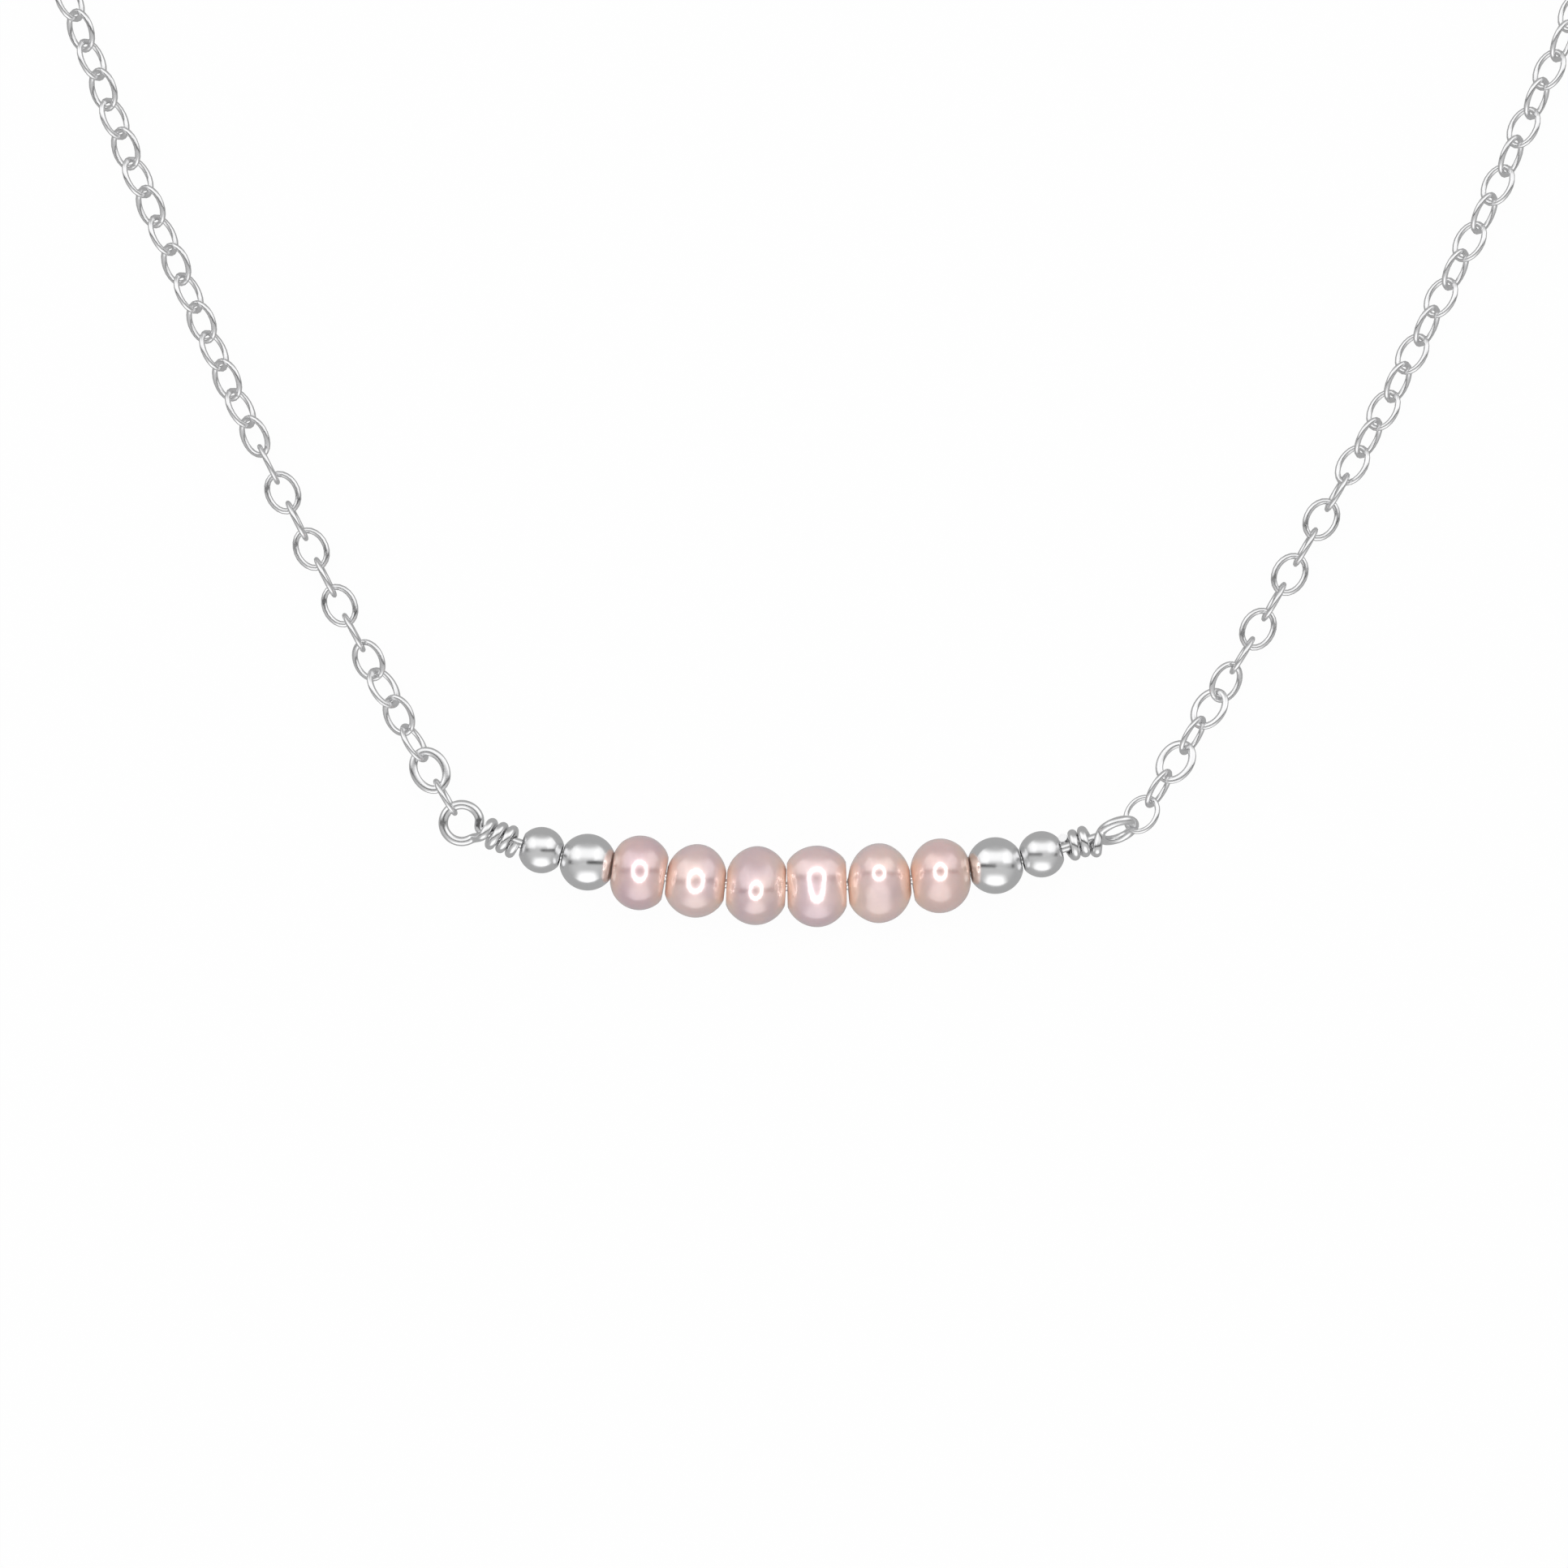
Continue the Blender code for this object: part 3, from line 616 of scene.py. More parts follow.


# Pearls

# How one pearl differs from a turned one. Top and bottom are the half-lengths of its oval outline
# there, in millimetres, and slant moves that outline along the hole. Flat, ridge and lean shape
# the front, which faces up, away from the surface that the necklace lies on.
# The last colour of each pearl is a painted peach shade at its ends, where it meets its neighbours
Character = namedtuple("Character", "top bottom slant flat ridge lean body overtone warm")

PEARLS = {
    "pearl_1": Character(
        1.72, 1.72, -0.05, 0.08, 0.02, 0.03, (0.80, 0.56, 0.55), (0.66, 0.46, 0.52), (0.86, 0.58, 0.47)
    ),
    "pearl_2": Character(
        1.66, 1.78, 0.00, 0.14, 0.00, 0.00, (0.84, 0.62, 0.58), (0.70, 0.51, 0.55), (0.90, 0.66, 0.53)
    ),
    "pearl_3": Character(
        1.74, 1.84, 0.03, -0.12, 0.07, -0.07, (0.82, 0.60, 0.57), (0.68, 0.49, 0.54), (0.90, 0.66, 0.52)
    ),
    "pearl_4": Character(
        1.98, 1.84, 0.00, 0.46, 0.10, 0.05, (0.82, 0.60, 0.59), (0.70, 0.51, 0.57), (0.88, 0.63, 0.51)
    ),
    "pearl_5": Character(
        1.70, 1.83, 0.05, -0.14, 0.06, 0.20, (0.86, 0.63, 0.57), (0.80, 0.57, 0.58), (0.92, 0.67, 0.51)
    ),
    "pearl_6": Character(
        1.70, 1.76, 0.09, -0.11, 0.03, 0.08, (0.84, 0.59, 0.54), (0.76, 0.53, 0.54), (0.88, 0.61, 0.47)
    ),
}


FRONT_SPREAD = 0.8
ROUNDED_END = 0.22 * MM
LONGEST_END = 0.6 * MM
LEAST_RIM = 1.3
HOLE_SINK = 0.02 * MM
BEAD_FIT = 0.8
# Where the rings of a drilled end lie, as shares of the way from the hole to its rim
END_SHARES = (0.93, 0.75, 0.5, 0.25, 0.08, 0.0)


def end_limit(node, sign, depth, reach):
    """How far a pearl's end may come along the hole, at some distance from the hole."""
    order = ["large_bead_left", *PEARLS, "large_bead_right"]
    beside = order[order.index(node) + sign]
    if beside in PEARLS:
        return depth
    length, diameter = threaded_size(beside)
    curve = math.sqrt(max(0.0, diameter**2 / 4 - reach**2))
    return depth + BEAD_FIT * max(0.0, length / 2 - curve)


def pearl_rings(node, settings):
    """Rings of one pearl, from its outside round through its drill hole."""
    shape = PEARLS[node]
    centre, axis = pivot(node), joint_axis(node)
    length, diameter = threaded_size(node)
    half, radius, bore = length / 2, diameter / 2, settings.bore / 2
    side = UP.cross(axis)
    drift = Vector((7.3, 1.9, 4.1)) * int(node[-1])
    columns = []
    for k in range(settings.around):
        angle = 2 * math.pi * k / settings.around
        angle = (angle + math.pi) % (2 * math.pi) - math.pi
        high, facing = math.sin(angle), max(0.0, math.cos(angle))
        oval = (shape.top * (1 + high) + shape.bottom * (1 - high)) / 2 * MM
        shift = shape.slant * high * MM
        front = math.exp(-((angle / FRONT_SPREAD) ** 2))
        girth = radius - shape.flat * MM * front
        girth *= 1 + shape.lean * math.sin(2 * angle) * facing
        way = UP * math.cos(angle) + side * high

        def reach_at(x):
            rise = math.sqrt(max(0.0, 1 - ((x - shift) / oval) ** 2))
            rounding = max(0.0, abs(x) - half + ROUNDED_END) ** 2 * 1.4 / MM
            return girth * rise * (1 - shape.ridge * front * (x / half) ** 2) - rounding

        def rim_at(x):
            return max(bore * LEAST_RIM, reach_at(x))

        def spot_at(x, reach):
            """A place on the skin, with shallow dents that fade out towards the hole."""
            spot = axis * (x / half * 1.7) + way * 1.2
            dent = settings.unevenness * (0.5 + 0.5 * noise.noise(spot * 1.1 + drift))
            fade = min(1.0, max(0.0, (reach / radius - 0.45) / 0.4))
            return centre + axis * x + way * (reach - dent * fade)

        ends = {}
        for sign in (-1, 1):
            near, far = half, half + LONGEST_END
            for _ in range(24):
                x = (near + far) / 2
                if x < end_limit(node, sign, half, rim_at(sign * x)):
                    near = x
                else:
                    far = x
            ends[sign] = (sign * near, rim_at(sign * near))
        turns = [math.asin(max(-1.0, min(1.0, (ends[g][0] - shift) / oval))) for g in (-1, 1)]
        column = []
        for i in range(settings.along + 1):
            turn = turns[0] + (turns[1] - turns[0]) * i / settings.along
            x = shift + oval * math.sin(turn)
            column.append((spot_at(x, reach_at(x)), x / half))
        for sign in (1, -1):
            rim = ends[sign][1]
            for share_out in END_SHARES[::sign]:
                reach = bore + (rim - bore) * share_out
                limit = sign * end_limit(node, sign, half, reach)
                sunk = sign * HOLE_SINK * (1 - share_out)
                column.append((centre + axis * (limit - sunk) + way * reach, sign))
        columns.append(column)
    rows = list(zip(*columns))
    rings = [[spot for spot, _ in row] for row in rows]
    return rings, [[along for _, along in row] for row in rows]


class NECKLACE_OT_pearls(bpy.types.Operator):
    """Build the six freshwater pearls"""

    bl_idname = "necklace.pearls"
    bl_label = "Pearls"

    def execute(self, context):
        settings = context.scene.necklace_pearls
        for node, character in PEARLS.items():
            rings, alongs = pearl_rings(node, settings)
            nacre = pearl_material("nacre_" + node, character, settings)
            mesh = skin("nacre_" + node, rings, nacre)
            values = np.array(alongs, np.float32).ravel()
            along = mesh.attributes.new("along", "FLOAT", "POINT")
            along.data.foreach_set("value", values)
            settle(add_object(mesh.name, mesh), node, node, node)
        return {"FINISHED"}


# Round silver beads


def bead_rings(node, hole, around=64, along=36):
    """Rings of one ball with a rolled lip at each end of its hole."""
    centre, axis = pivot(node), joint_axis(node)
    length, diameter = threaded_size(node)
    side = UP.cross(axis)
    radius = diameter / 2
    lip = 0.05 * MM
    start = math.asin((hole / 2 + lip) / radius)
    profile = []
    for i in range(along + 1):
        a = math.pi - start - (math.pi - 2 * start) * i / along
        profile.append((radius * math.cos(a), radius * math.sin(a)))
    edge = profile[-1][0]
    roll = [(edge - lip * 0.15, hole / 2 + lip * 0.3), (edge - lip, hole / 2)]
    profile += roll + [(-u, r) for u, r in reversed(roll)]
    rings = []
    for along_axis, r in profile:
        ring = []
        for k in range(around):
            a = 2 * math.pi * k / around
            ring.append(
                centre + axis * along_axis + (UP * math.cos(a) + side * math.sin(a)) * r
            )
        rings.append(ring)
    return rings


class NECKLACE_OT_beads(bpy.types.Operator):
    """Build the four round silver beads"""

    bl_idname = "necklace.beads"
    bl_label = "Silver beads"

    def execute(self, context):
        silver = context.scene.necklace_silver
        hole = context.scene.necklace_clasp.bead_hole
        look = metal("polished_beads", silver.colour, silver.bead_roughness, 500.0)
        for kind in ("large", "small"):
            for label in SIDES:
                node = f"{kind}_bead_{label}"
                mesh = skin("silver_" + node, bead_rings(node, hole), look)
                settle(add_object(mesh.name, mesh), node, "silver_bead", node)
        return {"FINISHED"}


# Bar wire with its wrapped loops

# Loop roll about the bar in degrees, turns, how far the first and last turn swell over the core,
# and how far the tops of the turns lean towards the bead, in millimetres
WireEnd = namedtuple("WireEnd", "roll turns first_swell last_swell tip")

WIRE_ENDS = {
    "left": WireEnd(0.0, 3.0, 1.05, 1.30, 0.02),
    "right": WireEnd(62.0, 2.5, 1.38, 1.04, 0.03),
}
LOOP_NECK = 42.0


def joined(start, start_way, end, end_way, steps):
    """Points strictly between two places, on a cubic with the directions given there."""
    reach = (end - start).length * 0.4
    a, b = start + start_way * reach, end - end_way * reach
    points = []
    for i in range(1, steps):
        t = i / steps
        points.append(
            start * (1 - t) ** 3 + a * 3 * t * (1 - t) ** 2 + b * 3 * t * t * (1 - t) + end * t**3
        )
    return points


def wrapped_end(label, wire):
    """The wire from the bead out, round its loop and back in turns over itself."""
    side, end = SIDES[label], WIRE_ENDS[label]
    loop_radius = (wire.loop_hole + wire.diameter) / 2
    wrap_radius = wire.diameter + wire.wrap_play
    wrap_pitch = wire.diameter + wire.wrap_gap
    wrap_to_loop = loop_radius + wire.diameter / 2 + wire.neck
    first_turn = BAR.stack_end(label) + wire.bead_gap + wire.diameter / 2
    loop_s = first_turn + end.turns * wrap_pitch + wrap_to_loop
    centre = BAR.point(side * loop_s)
    outward = BAR.tangent(side * loop_s) * side
    roll = math.radians(end.roll)
    across = UP.cross(outward) * math.cos(roll) + UP * math.sin(roll)
    normal = outward.cross(across)

    def round_loop(degrees):
        a = math.radians(degrees)
        return centre + (outward * math.cos(a) + across * math.sin(a)) * loop_radius

    def loop_way(degrees):
        a = math.radians(degrees)
        return across * math.cos(a) - outward * math.sin(a)

    def on_wrap(turn):
        a = 2 * math.pi * turn
        share_done = turn / end.turns
        start_swell = (end.first_swell - 1) * max(0.0, 1 - turn / 0.8) ** 2
        end_swell = (end.last_swell - 1) * max(0.0, 1 - (end.turns - turn) / 0.7) ** 2
        wander = 0.03 * math.sin(5 * share_done + side)
        radius = wrap_radius * (1 + start_swell + end_swell)
        out = normal * math.cos(a) - across * math.sin(a)
        near_bead = max(0.0, 1 - (end.turns - turn) / 0.9)
        tip = min(1.0, turn / 0.6) * end.tip * (1 - 0.55 * near_bead) * MM
        s = loop_s - wrap_to_loop - (turn + wander) * wrap_pitch * 1.02 - tip * out.y
        return BAR.point(side * s) + out * radius

    enter, leave = 180 + LOOP_NECK, 540 - LOOP_NECK
    neck = BAR.point(side * (loop_s - wrap_to_loop + wire.diameter / 2))
    path = [neck]
    path += joined(neck, outward, round_loop(enter), loop_way(enter), 10)
    path += [round_loop(enter + (leave - enter) * i / 48) for i in range(49)]
    wrap_way = (on_wrap(0.02) - on_wrap(0.0)).normalized()
    path += joined(round_loop(leave), loop_way(leave), on_wrap(0), wrap_way, 14)
    count = round(end.turns * 36)
    path += [on_wrap(end.turns * i / count) for i in range(count + 1)]
    core_end = loop_s - wrap_to_loop + wire.diameter / 2
    return path, core_end


class NECKLACE_OT_bar_wire(bpy.types.Operator):
    """Build the bar wire with its two wrapped loops"""

    bl_idname = "necklace.bar_wire"
    bl_label = "Bar wire"

    def execute(self, context):
        wire, silver = context.scene.necklace_wire, context.scene.necklace_silver
        left, left_end = wrapped_end("left", wire)
        right, right_end = wrapped_end("right", wire)
        steps = 60
        core = [
            BAR.point(-left_end + (left_end + right_end) * i / steps) for i in range(1, steps)
        ]
        path = list(reversed(left)) + core + right
        look = metal("drawn_silver", silver.colour, silver.wire_roughness, 800.0)
        values = {"Diameter": wire.diameter, "Sides": 16, "Material": look}
        obj = grown("silver_bar_wire", line_mesh("bar_wire_line", path), wire_tree(), values)
        settle(obj, "bar", "silver_wire", "bar_wire")
        return {"FINISHED"}


# Chain

Link = namedtuple("Link", "middle way roll")

# Rolls of the first links of each chain, in degrees: 0 lies flat and 90 stands upright
FIRST_ROLLS = {
    "left": (90, 0, -68, 34, -48, 28, 90, 0, 88, 0, 90, 0, 86),
    "right": (20, -60, 24, -60, 32, -30, 90, 0, 88, 0, 90, 0, 84),
}
WIDE_ROLL, NARROW_ROLL = 38, -52

# Extra length and band of the links that differ, by number. The end link is number 0.
HEAVY_LINKS = {
    "left": {
        0: (0.05 * MM, 0.0),
        1: (-0.10 * MM, -0.04 * MM),
        2: (0.26 * MM, 0.13 * MM),
        5: (0.10 * MM, 0.05 * MM),
    },
    "right": {
        0: (0.05 * MM, 0.0),
        1: (-0.10 * MM, -0.04 * MM),
        3: (0.20 * MM, 0.10 * MM),
        5: (0.12 * MM, 0.06 * MM),
    },
}


def link_roll(label, number, restless):
    """The roll of a link, in radians. Past the first ones they lie turned half way."""
    rolls = FIRST_ROLLS[label]
    if number <= len(rolls):
        regular = rolls[number - 1]
    else:
        regular = WIDE_ROLL if number % 2 == 0 else NARROW_ROLL
    spot = Vector((number * 0.73, SIDES[label] * 11.7, 3.1))
    return math.radians(regular) + restless * noise.noise(spot)


def built_roll(node, way):
    """The roll at which a CAD link lies, in radians."""
    points = corners(node)
    flat = Vector(np.linalg.svd(points - points.mean(0), full_matrices=False)[2][2])
    across = flat.cross(way)
    level = way.cross(UP).normalized()
    roll = math.atan2(across.dot(level.cross(way)), across.dot(level))
    return (roll + math.pi / 2) % math.pi - math.pi / 2


def standing_height(roll, chain):
    """How high a link's middle must be for its lower side to clear the surface."""
    reach = (chain.link_width - chain.band) / 2
    return reach * abs(math.sin(roll)) + chain.band / 2 + chain.floor_gap


def chain_links(label, chain):
    """Every link of one chain, as lists by the body that carries it."""
    restless = chain.restless
    bodies = {}
    for k in range(1, SINGLE_LINKS + 1):
        body = f"{label}_link_{k}"
        after = f"{label}_link_{k + 1}" if k < SINGLE_LINKS else f"{label}_run_1"
        middle = middle_of(body)
        way = (pivot(after) - middle).normalized()
        if k == 1:
            middle += way * 0.03 * MM
        bodies[body] = [Link(middle, way, link_roll(label, k, restless))]
    for index in range(1, RUNS + 1):
        body = f"{label}_run_{index}"
        after = f"{label}_run_{index + 1}" if index < RUNS else f"{label}_end_link"
        start, end = pivot(body), pivot(after)
        pitch = (end - start) / LINKS_PER_RUN
        lead = 1 - (chain.link_length - chain.link_wire) / 2 / pitch.length
        first = SINGLE_LINKS + (index - 1) * LINKS_PER_RUN + 1
        links = []
        for j in range(LINKS_PER_RUN):
            middle = start + pitch * (j + lead)
            links.append(Link(middle, pitch.normalized(), link_roll(label, first + j, restless)))
        bodies[body] = raised(links, chain)
    body = f"{label}_end_link"
    middle = middle_of(body)
    way = (middle - pivot(body)).normalized()
    roll = built_roll(body, way)
    bodies[body] = [Link(middle, way, roll)]
    last = bodies[f"{label}_run_{RUNS}"]
    for i, share_left in ((-1, 0.0), (-2, 0.2), (-3, 0.5)):
        target = roll + (math.radians(65) if i % 2 else 0.0)
        target = (target + math.pi / 2) % math.pi - math.pi / 2
        turned = target + (last[i].roll - target) * share_left
        last[i] = last[i]._replace(roll=turned)
    bodies[f"{label}_run_{RUNS}"] = raised(last, chain)
    return bodies


def raised(links, chain):
    """The same links, with those that stand on edge lifted and the others hung between them."""
    heights = [max(link.middle.z, standing_height(link.roll, chain)) for link in links]
    for i in range(1, len(links) - 1):
        if abs(math.sin(links[i].roll)) < 0.3:
            heights[i] = (heights[i - 1] + heights[i + 1]) / 2
    return [
        link._replace(middle=Vector((link.middle.x, link.middle.y, height)))
        for link, height in zip(links, heights)
    ]


def across_of(way, roll):
    """The direction across a link's face."""
    level = way.cross(UP).normalized()
    return level * math.cos(roll) + level.cross(way) * math.sin(roll)


def link_points(name, links):
    """One vertex for each link, with its two directions as attributes."""
    mesh = bpy.data.meshes.new(name)
    mesh.from_pydata([link.middle for link in links], [], [])
    for label, vectors in (
        ("way", [link.way for link in links]),
        ("across", [across_of(link.way, link.roll) for link in links]),
    ):
        made = mesh.attributes.new(label, "FLOAT_VECTOR", "POINT")
        made.data.foreach_set("vector", [c for v in vectors for c in v])
    return mesh


class NECKLACE_OT_chain(bpy.types.Operator):
    """Build every link of both chains"""

    bl_idname = "necklace.chain"
    bl_label = "Chain links"

    def execute(self, context):
        chain, silver = context.scene.necklace_chain, context.scene.necklace_silver
        look = metal("polished_chain", silver.colour, silver.chain_roughness, 900.0)
        for label in SIDES:
            for body, links in chain_links(label, chain).items():
                single = len(links) == 1
                number = int(body.split("_")[2]) if single and "end" not in body else 0
                longer, wider = HEAVY_LINKS[label].get(number, (0.0, 0.0))
                values = {
                    "Length": chain.link_length + longer,
                    "Width": chain.link_width + wider * 1.5,
                    "Thickness": chain.link_wire,
                    "Band": chain.band + wider,
                    "Steps": 36 if single else 22,
                    "Sides": 12 if single else 8,
                    "Material": look,
                }
                name = "silver_" + body
                obj = grown(name, link_points(name + "_points", links), link_tree(), values)
                settle(obj, body, "silver_chain", body)
        return {"FINISHED"}


# Jump rings


def ring_path(node, slit, steps=72):
    """A ring's centre line from one side of its cut to the other, and its wire's diameter."""
    points = corners(node)
    centre = points.mean(0)
    ways = np.linalg.svd(points - centre, full_matrices=False)[2]
    first, second, normal = (Vector(w) for w in ways)
    offsets = points - centre
    flat = offsets - np.outer(offsets @ np.array(normal), np.array(normal))
    reach = np.sqrt((flat**2).sum(1))
    radius = (reach.max() + reach.min()) / 2
    wire = reach.max() - reach.min()
    gap = slit / radius
    path = []
    for i in range(steps + 1):
        a = gap / 2 + (2 * math.pi - gap) * i / steps
        path.append(Vector(centre) + (first * math.cos(a) + second * math.sin(a)) * radius)
    return path, wire


class NECKLACE_OT_rings(bpy.types.Operator):
    """Build the clasp's ring and the end ring"""

    bl_idname = "necklace.rings"
    bl_label = "Jump rings"

    def execute(self, context):
        clasp, silver = context.scene.necklace_clasp, context.scene.necklace_silver
        look = metal("drawn_silver", silver.colour, silver.wire_roughness, 800.0)
        for node in ("clasp_ring", "end_ring"):
            path, wire = ring_path(node, clasp.ring_slit)
            values = {"Diameter": wire, "Sides": 18, "Material": look}
            obj = grown("silver_" + node, line_mesh(node + "_line", path), wire_tree(), values)
            settle(obj, node, "silver_chain", node)
        return {"FINISHED"}


# Clasp


def rounded_copy(node, name, voxel, softening, material):
    """A CAD node's shape with its edges rounded as tumbling rounds a casting."""
    mesh = frame["nodes"][node].data.copy()
    mesh.name = name
    mesh.materials.clear()
    mesh.materials.append(material)
    shell = bmesh.new()
    shell.from_mesh(mesh)
    bmesh.ops.remove_doubles(shell, verts=shell.verts, dist=0.002 * MM)
    bmesh.ops.recalc_face_normals(shell, faces=shell.faces)
    shell.to_mesh(mesh)
    shell.free()
    obj = add_object(name, mesh)
    remesh = obj.modifiers.new("Voxels", "REMESH")
    remesh.mode = "VOXEL"
    remesh.voxel_size = voxel
    smooth = obj.modifiers.new("Tumbled", "SMOOTH")
    smooth.factor = 0.5
    smooth.iterations = softening
    thin = obj.modifiers.new("Thinned", "DECIMATE")
    thin.ratio = 0.45
    depsgraph = bpy.context.evaluated_depsgraph_get()
    made = bpy.data.meshes.new_from_object(obj.evaluated_get(depsgraph), depsgraph=depsgraph)
    obj.modifiers.clear()
    obj.data = made
    made.name = name
    bpy.data.meshes.remove(mesh)
    made.materials.clear()
    made.materials.append(material)
    made.polygons.foreach_set("material_index", [0] * len(made.polygons))
    made.shade_smooth()
    return obj


class NECKLACE_OT_clasp(bpy.types.Operator):
    """Build the lobster clasp's body, lever and pin, and give its spring a steel finish"""

    bl_idname = "necklace.clasp"
    bl_label = "Lobster clasp"

    def execute(self, context):
        clasp, silver = context.scene.necklace_clasp, context.scene.necklace_silver
        look = metal("cast_silver", silver.colour, silver.clasp_roughness, 450.0)
        steel = metal("spring_steel", silver.spring_colour, 0.3, 1500.0)
        body = rounded_copy("clasp_body", "silver_clasp_body", clasp.voxel, 7, look)
        settle(body, "clasp", "silver_clasp", "clasp_body")
        lever = rounded_copy("clasp_lever", "silver_clasp_lever", clasp.voxel * 0.7, 4, look)
        settle(lever, "clasp_lever", "silver_clasp", "clasp_lever")
        pin = rounded_copy("clasp_pin", "silver_clasp_pin", clasp.voxel * 0.6, 3, look)
        settle(pin, "clasp", "silver_clasp", "clasp_pin")
        frame["nodes"]["clasp_spring"].data.materials.clear()
        frame["nodes"]["clasp_spring"].data.materials.append(steel)
        return {"FINISHED"}


# Studio

# Share of plain white in the floor that the camera sees, and the floor's brightness in metal
FLOOR_WHITE = 0.965
FLOOR_IN_METAL = 0.42

# Distances in metres and brightnesses of the lamps that only some pieces show
RING_HEIGHT, RING_HALF_ANGLE = 0.5, math.radians(27)
RING_DISC, RING_BRIGHTNESS = 0.155, 3.6
STRIP_HEIGHT, STRIP_START, STRIP_BRIGHTNESS = 0.5, 0.02, 0.5

CAMERA_SHIFT = Vector((-0.208 * MM, 5.418 * MM, 0))
CAMERA_TURN = math.radians(0.77)


def studio_light(nodes, direction):
    """Brightness that polished surfaces see in each direction: a dim tent with two softboxes."""
    split = nodes.add("ShaderNodeSeparateXYZ", {0: direction}).outputs
    x, y, z = split[0], split[1], split[2]

    def band(value, low, rise, fall, high):
        edges = nodes.ramp(value, low, rise), nodes.ramp(value, fall, high, 1, 0)
        return nodes.math("MULTIPLY", *edges)

    level = nodes.ramp(z, -0.2, 0.7, 0.42, 0.60)
    wide = nodes.math("ABSOLUTE", x)
    middle = nodes.ramp(wide, 0.35, 0.75, 1, 0)
    top = nodes.math("MULTIPLY", band(y, 0.12, 0.45, 0.75, 0.95), middle)
    low_y = nodes.math("MULTIPLY", y, -1.0)
    bottom = nodes.math("MULTIPLY", band(low_y, 0.45, 0.85, 2.0, 2.1), middle)
    level = nodes.math("ADD", level, nodes.math("MULTIPLY", top, 0.55))
    level = nodes.math("ADD", level, nodes.math("MULTIPLY", bottom, 0.75))
    side_spread = band(wide, 0.40, 0.60, 0.85, 0.97)
    boxes = nodes.math("MULTIPLY", side_spread, band(y, 0.05, 0.25, 0.7, 0.9))
    level = nodes.math("ADD", level, nodes.math("MULTIPLY", boxes, 0.60))
    slit = nodes.ramp(nodes.math("ABSOLUTE", y), 0.05, 0.16, 0.97, 0)
    slit = nodes.math("MULTIPLY", slit, nodes.ramp(z, 0.0, 0.3))
    return nodes.math("MULTIPLY", level, nodes.math("SUBTRACT", 1.0, slit))


def make_world(fill):
    world = bpy.data.worlds.new("studio")
    world.use_nodes = True
    world.cycles.sampling_method = "NONE"
    bpy.context.scene.world = world
    nodes = Nodes(world.node_tree)
    background = world.node_tree.nodes["Background"]
    coordinates = nodes.add("ShaderNodeTexCoord").outputs["Generated"]
    direction = nodes.add("ShaderNodeVectorMath", {0: coordinates}, operation="NORMALIZE").outputs[0]
    path = nodes.add("ShaderNodeLightPath").outputs
    seen = nodes.math("MAXIMUM", path["Is Camera Ray"], path["Is Transmission Ray"])
    level = nodes.blend(path["Is Glossy Ray"], fill, studio_light(nodes, direction))
    nodes.feed(background.inputs["Strength"], nodes.blend(seen, level, 1.0))
    background.inputs["Color"].default_value = (1, 1, 1, 1)


def make_floor(stage):
    half = stage.floor_size / 2
    mesh = bpy.data.meshes.new("floor")
    height = -0.03 * MM
    square = ((-half, -half), (half, -half), (half, half), (-half, half))
    mesh.from_pydata([(x, y, height) for x, y in square], [], [(0, 1, 2, 3)])
    made, nodes, shader = new_material("white_floor")
    nodes.feed(shader.inputs["Base Color"], rgba(stage.floor_colour))
    shader.inputs["Roughness"].default_value = 0.9
    shader.inputs["Specular IOR Level"].default_value = 0.0
    path = nodes.add("ShaderNodeLightPath").outputs
    seen = nodes.math("MAXIMUM", path["Is Camera Ray"], path["Is Transmission Ray"])
    seen = nodes.math("MAXIMUM", seen, path["Is Glossy Ray"])
    strength = nodes.blend(path["Is Glossy Ray"], 1.0, FLOOR_IN_METAL)
    white = nodes.add("ShaderNodeEmission", {"Color": (1, 1, 1, 1), "Strength": strength}).outputs[0]
    seen = nodes.math("MULTIPLY", seen, FLOOR_WHITE)
    both = nodes.add("ShaderNodeMixShader", {0: seen, 1: shader.outputs[0], 2: white})
    nodes.feed(made.node_tree.nodes["Material Output"].inputs["Surface"], both.outputs[0])
    mesh.materials.append(made)
    floor = add_object("floor", mesh)


def make_lamp(name, place, target, side, power):
    lamp = bpy.data.lights.new(name, "AREA")
    lamp.shape = "SQUARE"
    lamp.size = side
    lamp.energy = power
    obj = add_object(name, lamp)
    obj.location = place
    obj.rotation_euler = (target - place).to_track_quat("-Z", "Y").to_euler()
    obj.visible_glossy = False
    obj.visible_camera = False
    return obj


def make_ring_lamp(target, discs=14):
    """A round lamp of soft discs about the camera, which only the pearls show."""
    pearls = bpy.data.collections.new("pearls")
    for obj in bpy.data.objects:
        if obj.name.startswith("nacre_"):
            pearls.objects.link(obj)
    if not pearls.objects:
        raise RuntimeError("The pearls have to be built before the studio")
    for i in range(discs):
        a = 2 * math.pi * i / discs
        out = Vector((math.cos(a), math.sin(a), 0)) * math.tan(RING_HALF_ANGLE)
        obj = make_lamp(f"ring_{i}", target + (UP + out) * RING_HEIGHT, target, RING_DISC, 1.0)
        obj.data.shape = "DISK"
        obj.data.energy = RING_BRIGHTNESS * math.pi * (math.pi * RING_DISC**2 / 4)
        obj.visible_glossy = True
        obj.visible_diffuse = False
        obj.light_linking.receiver_collection = pearls


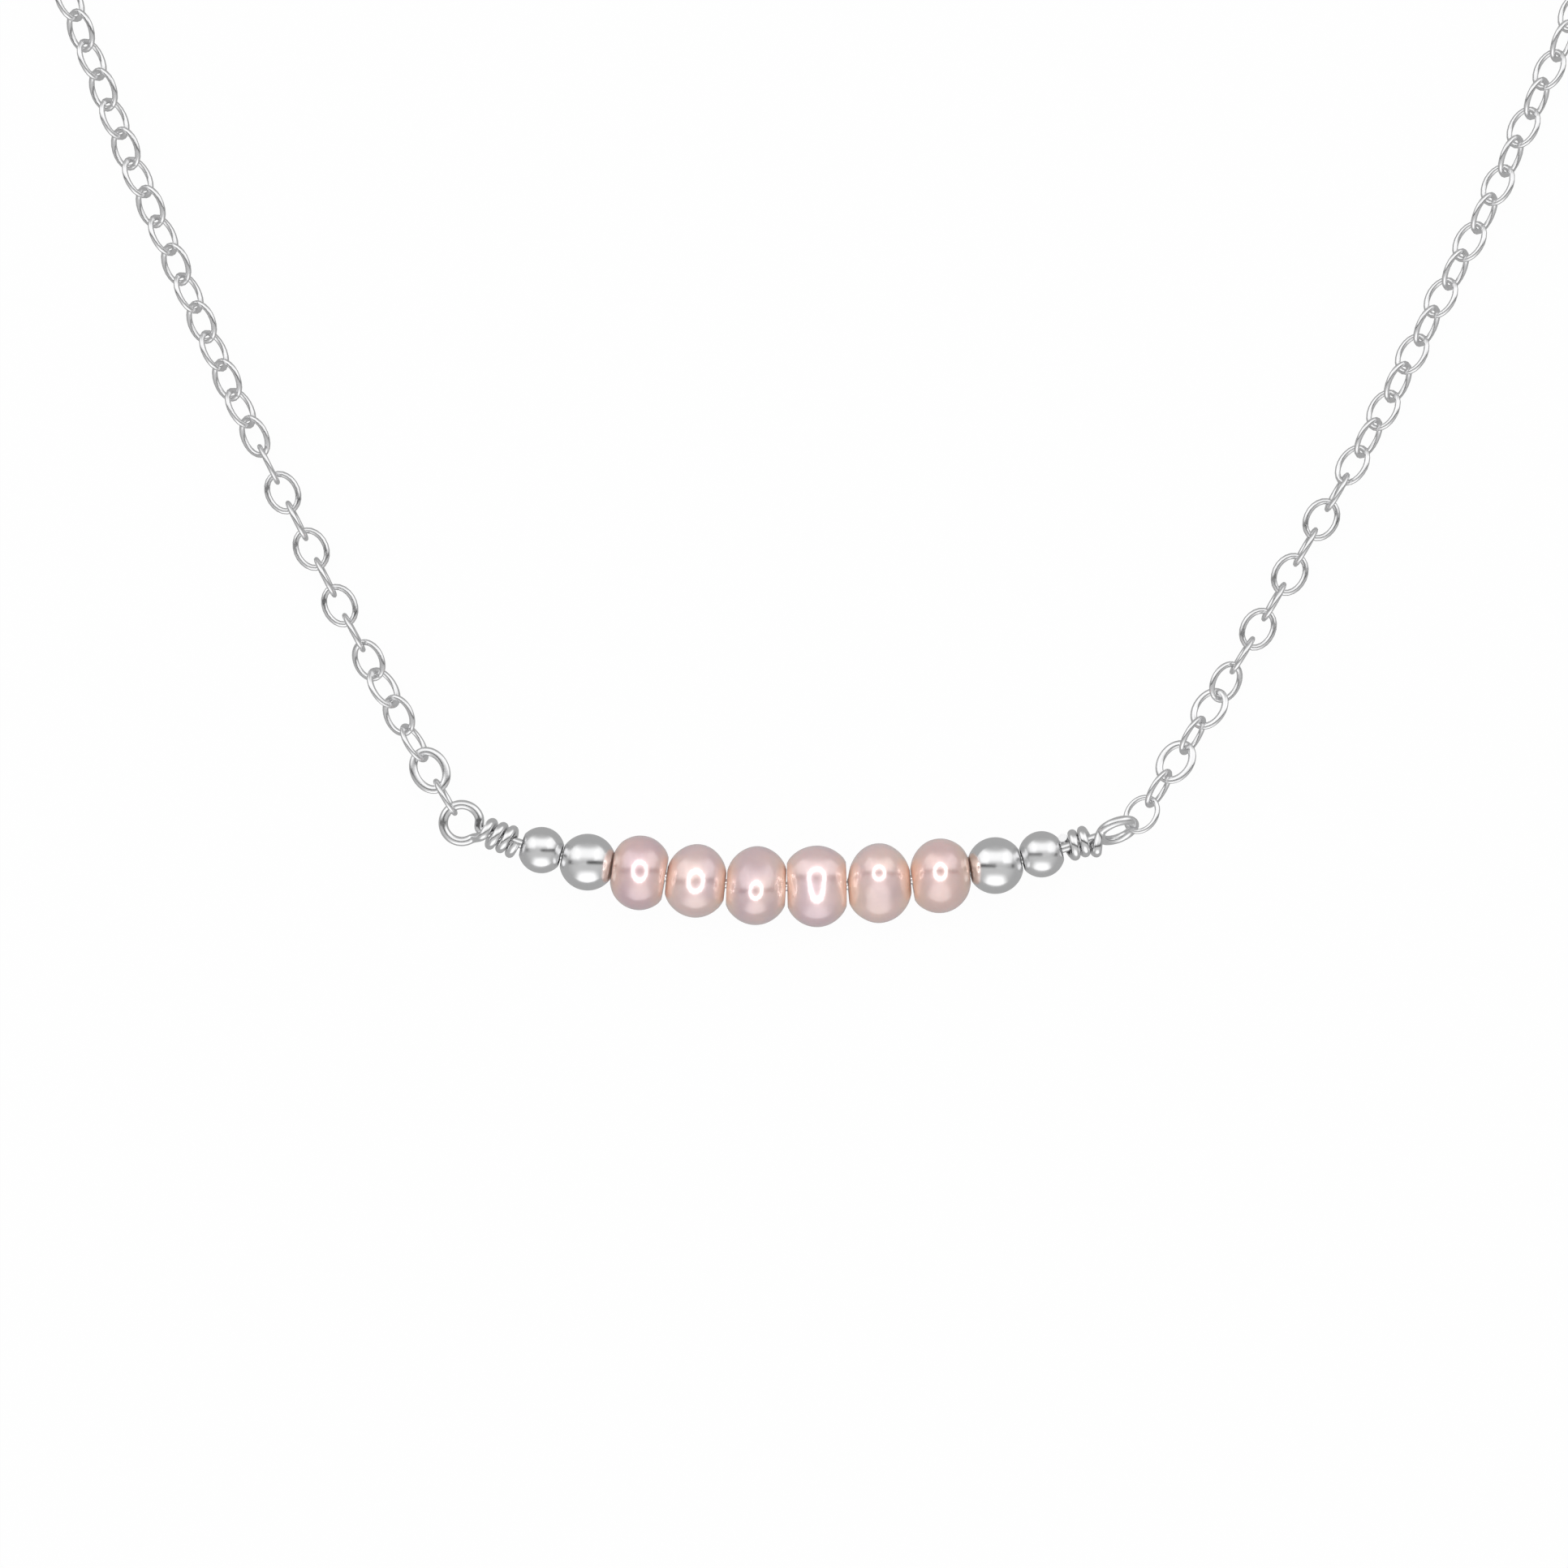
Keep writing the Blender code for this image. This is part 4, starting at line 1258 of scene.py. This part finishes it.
def make_strip_lamps(target, reach=1.2, breadth=0.13):
    """Two long lamps that only the beads of their own side show."""
    for label, sign in SIDES.items():
        beads = bpy.data.collections.new("beads_" + label)
        for kind in ("large", "small"):
            beads.objects.link(bpy.data.objects[f"silver_{kind}_bead_{label}"])
        place = target + Vector((sign * (reach / 2 + STRIP_START), 0, STRIP_HEIGHT))
        obj = make_lamp("strip_" + label, place, place - UP, breadth, 1.0)
        obj.rotation_euler = (0, 0, 0)
        obj.data.shape = "RECTANGLE"
        obj.data.size = reach
        obj.data.size_y = breadth
        obj.data.energy = STRIP_BRIGHTNESS * math.pi * reach * breadth
        obj.visible_glossy = True
        obj.visible_diffuse = False
        obj.light_linking.receiver_collection = beads


def make_camera(stage):
    """Looks straight down on the bar, turned a little so that the bar is level as worn."""
    camera = bpy.data.cameras.new("camera")
    camera.lens = stage.lens
    camera.sensor_width = 36.0
    camera.clip_start = 0.01
    camera.clip_end = 10.0
    obj = add_object("camera", camera)
    aim = BAR.point(0) + CAMERA_SHIFT
    obj.location = aim + UP * stage.camera_distance
    obj.rotation_euler = (0, 0, CAMERA_TURN)
    bpy.context.scene.camera = obj


class NECKLACE_OT_stage(bpy.types.Operator):
    """Build the floor, the lights, the world and the camera"""

    bl_idname = "necklace.stage"
    bl_label = "Studio"

    def execute(self, context):
        stage = context.scene.necklace_stage
        make_camera(stage)
        make_world(stage.fill)
        make_floor(stage)
        target = BAR.point(0)
        make_lamp("softbox", target + Vector((-0.15, 0.25, 0.55)), target, 0.5, stage.lamp_power)
        make_ring_lamp(target)
        make_strip_lamps(target)
        context.scene.view_settings.view_transform = "Standard"
        return {"FINISHED"}


# Add-on

BUILDERS = (
    NECKLACE_OT_pearls,
    NECKLACE_OT_beads,
    NECKLACE_OT_bar_wire,
    NECKLACE_OT_chain,
    NECKLACE_OT_rings,
    NECKLACE_OT_clasp,
    NECKLACE_OT_stage,
)
SETTINGS = {
    "necklace_pearls": PearlSettings,
    "necklace_silver": SilverSettings,
    "necklace_wire": WireSettings,
    "necklace_chain": ChainSettings,
    "necklace_clasp": ClaspSettings,
    "necklace_stage": StageSettings,
}


class NECKLACE_PT_panel(bpy.types.Panel):
    """Sizes, colours and builders of the necklace"""

    bl_label = "Pearl bar necklace"
    bl_idname = "NECKLACE_PT_panel"
    bl_space_type = "VIEW_3D"
    bl_region_type = "UI"
    bl_category = "Necklace"

    def draw(self, context):
        for name, group in SETTINGS.items():
            box = self.layout.box()
            for field in group.__annotations__:
                box.prop(getattr(context.scene, name), field)
        for builder in BUILDERS:
            self.layout.operator(builder.bl_idname)


def register():
    for group in (*SETTINGS.values(), *BUILDERS, NECKLACE_PT_panel):
        bpy.utils.register_class(group)
    for name, group in SETTINGS.items():
        setattr(bpy.types.Scene, name, bpy.props.PointerProperty(type=group))


def unregister():
    for name in SETTINGS:
        delattr(bpy.types.Scene, name)
    for group in (NECKLACE_PT_panel, *BUILDERS, *reversed(SETTINGS.values())):
        bpy.utils.unregister_class(group)


def main():
    register()
    for builder in BUILDERS:
        group, name = builder.bl_idname.split(".")
        getattr(getattr(bpy.ops, group), name)()


if __name__ == "__main__":
    main()
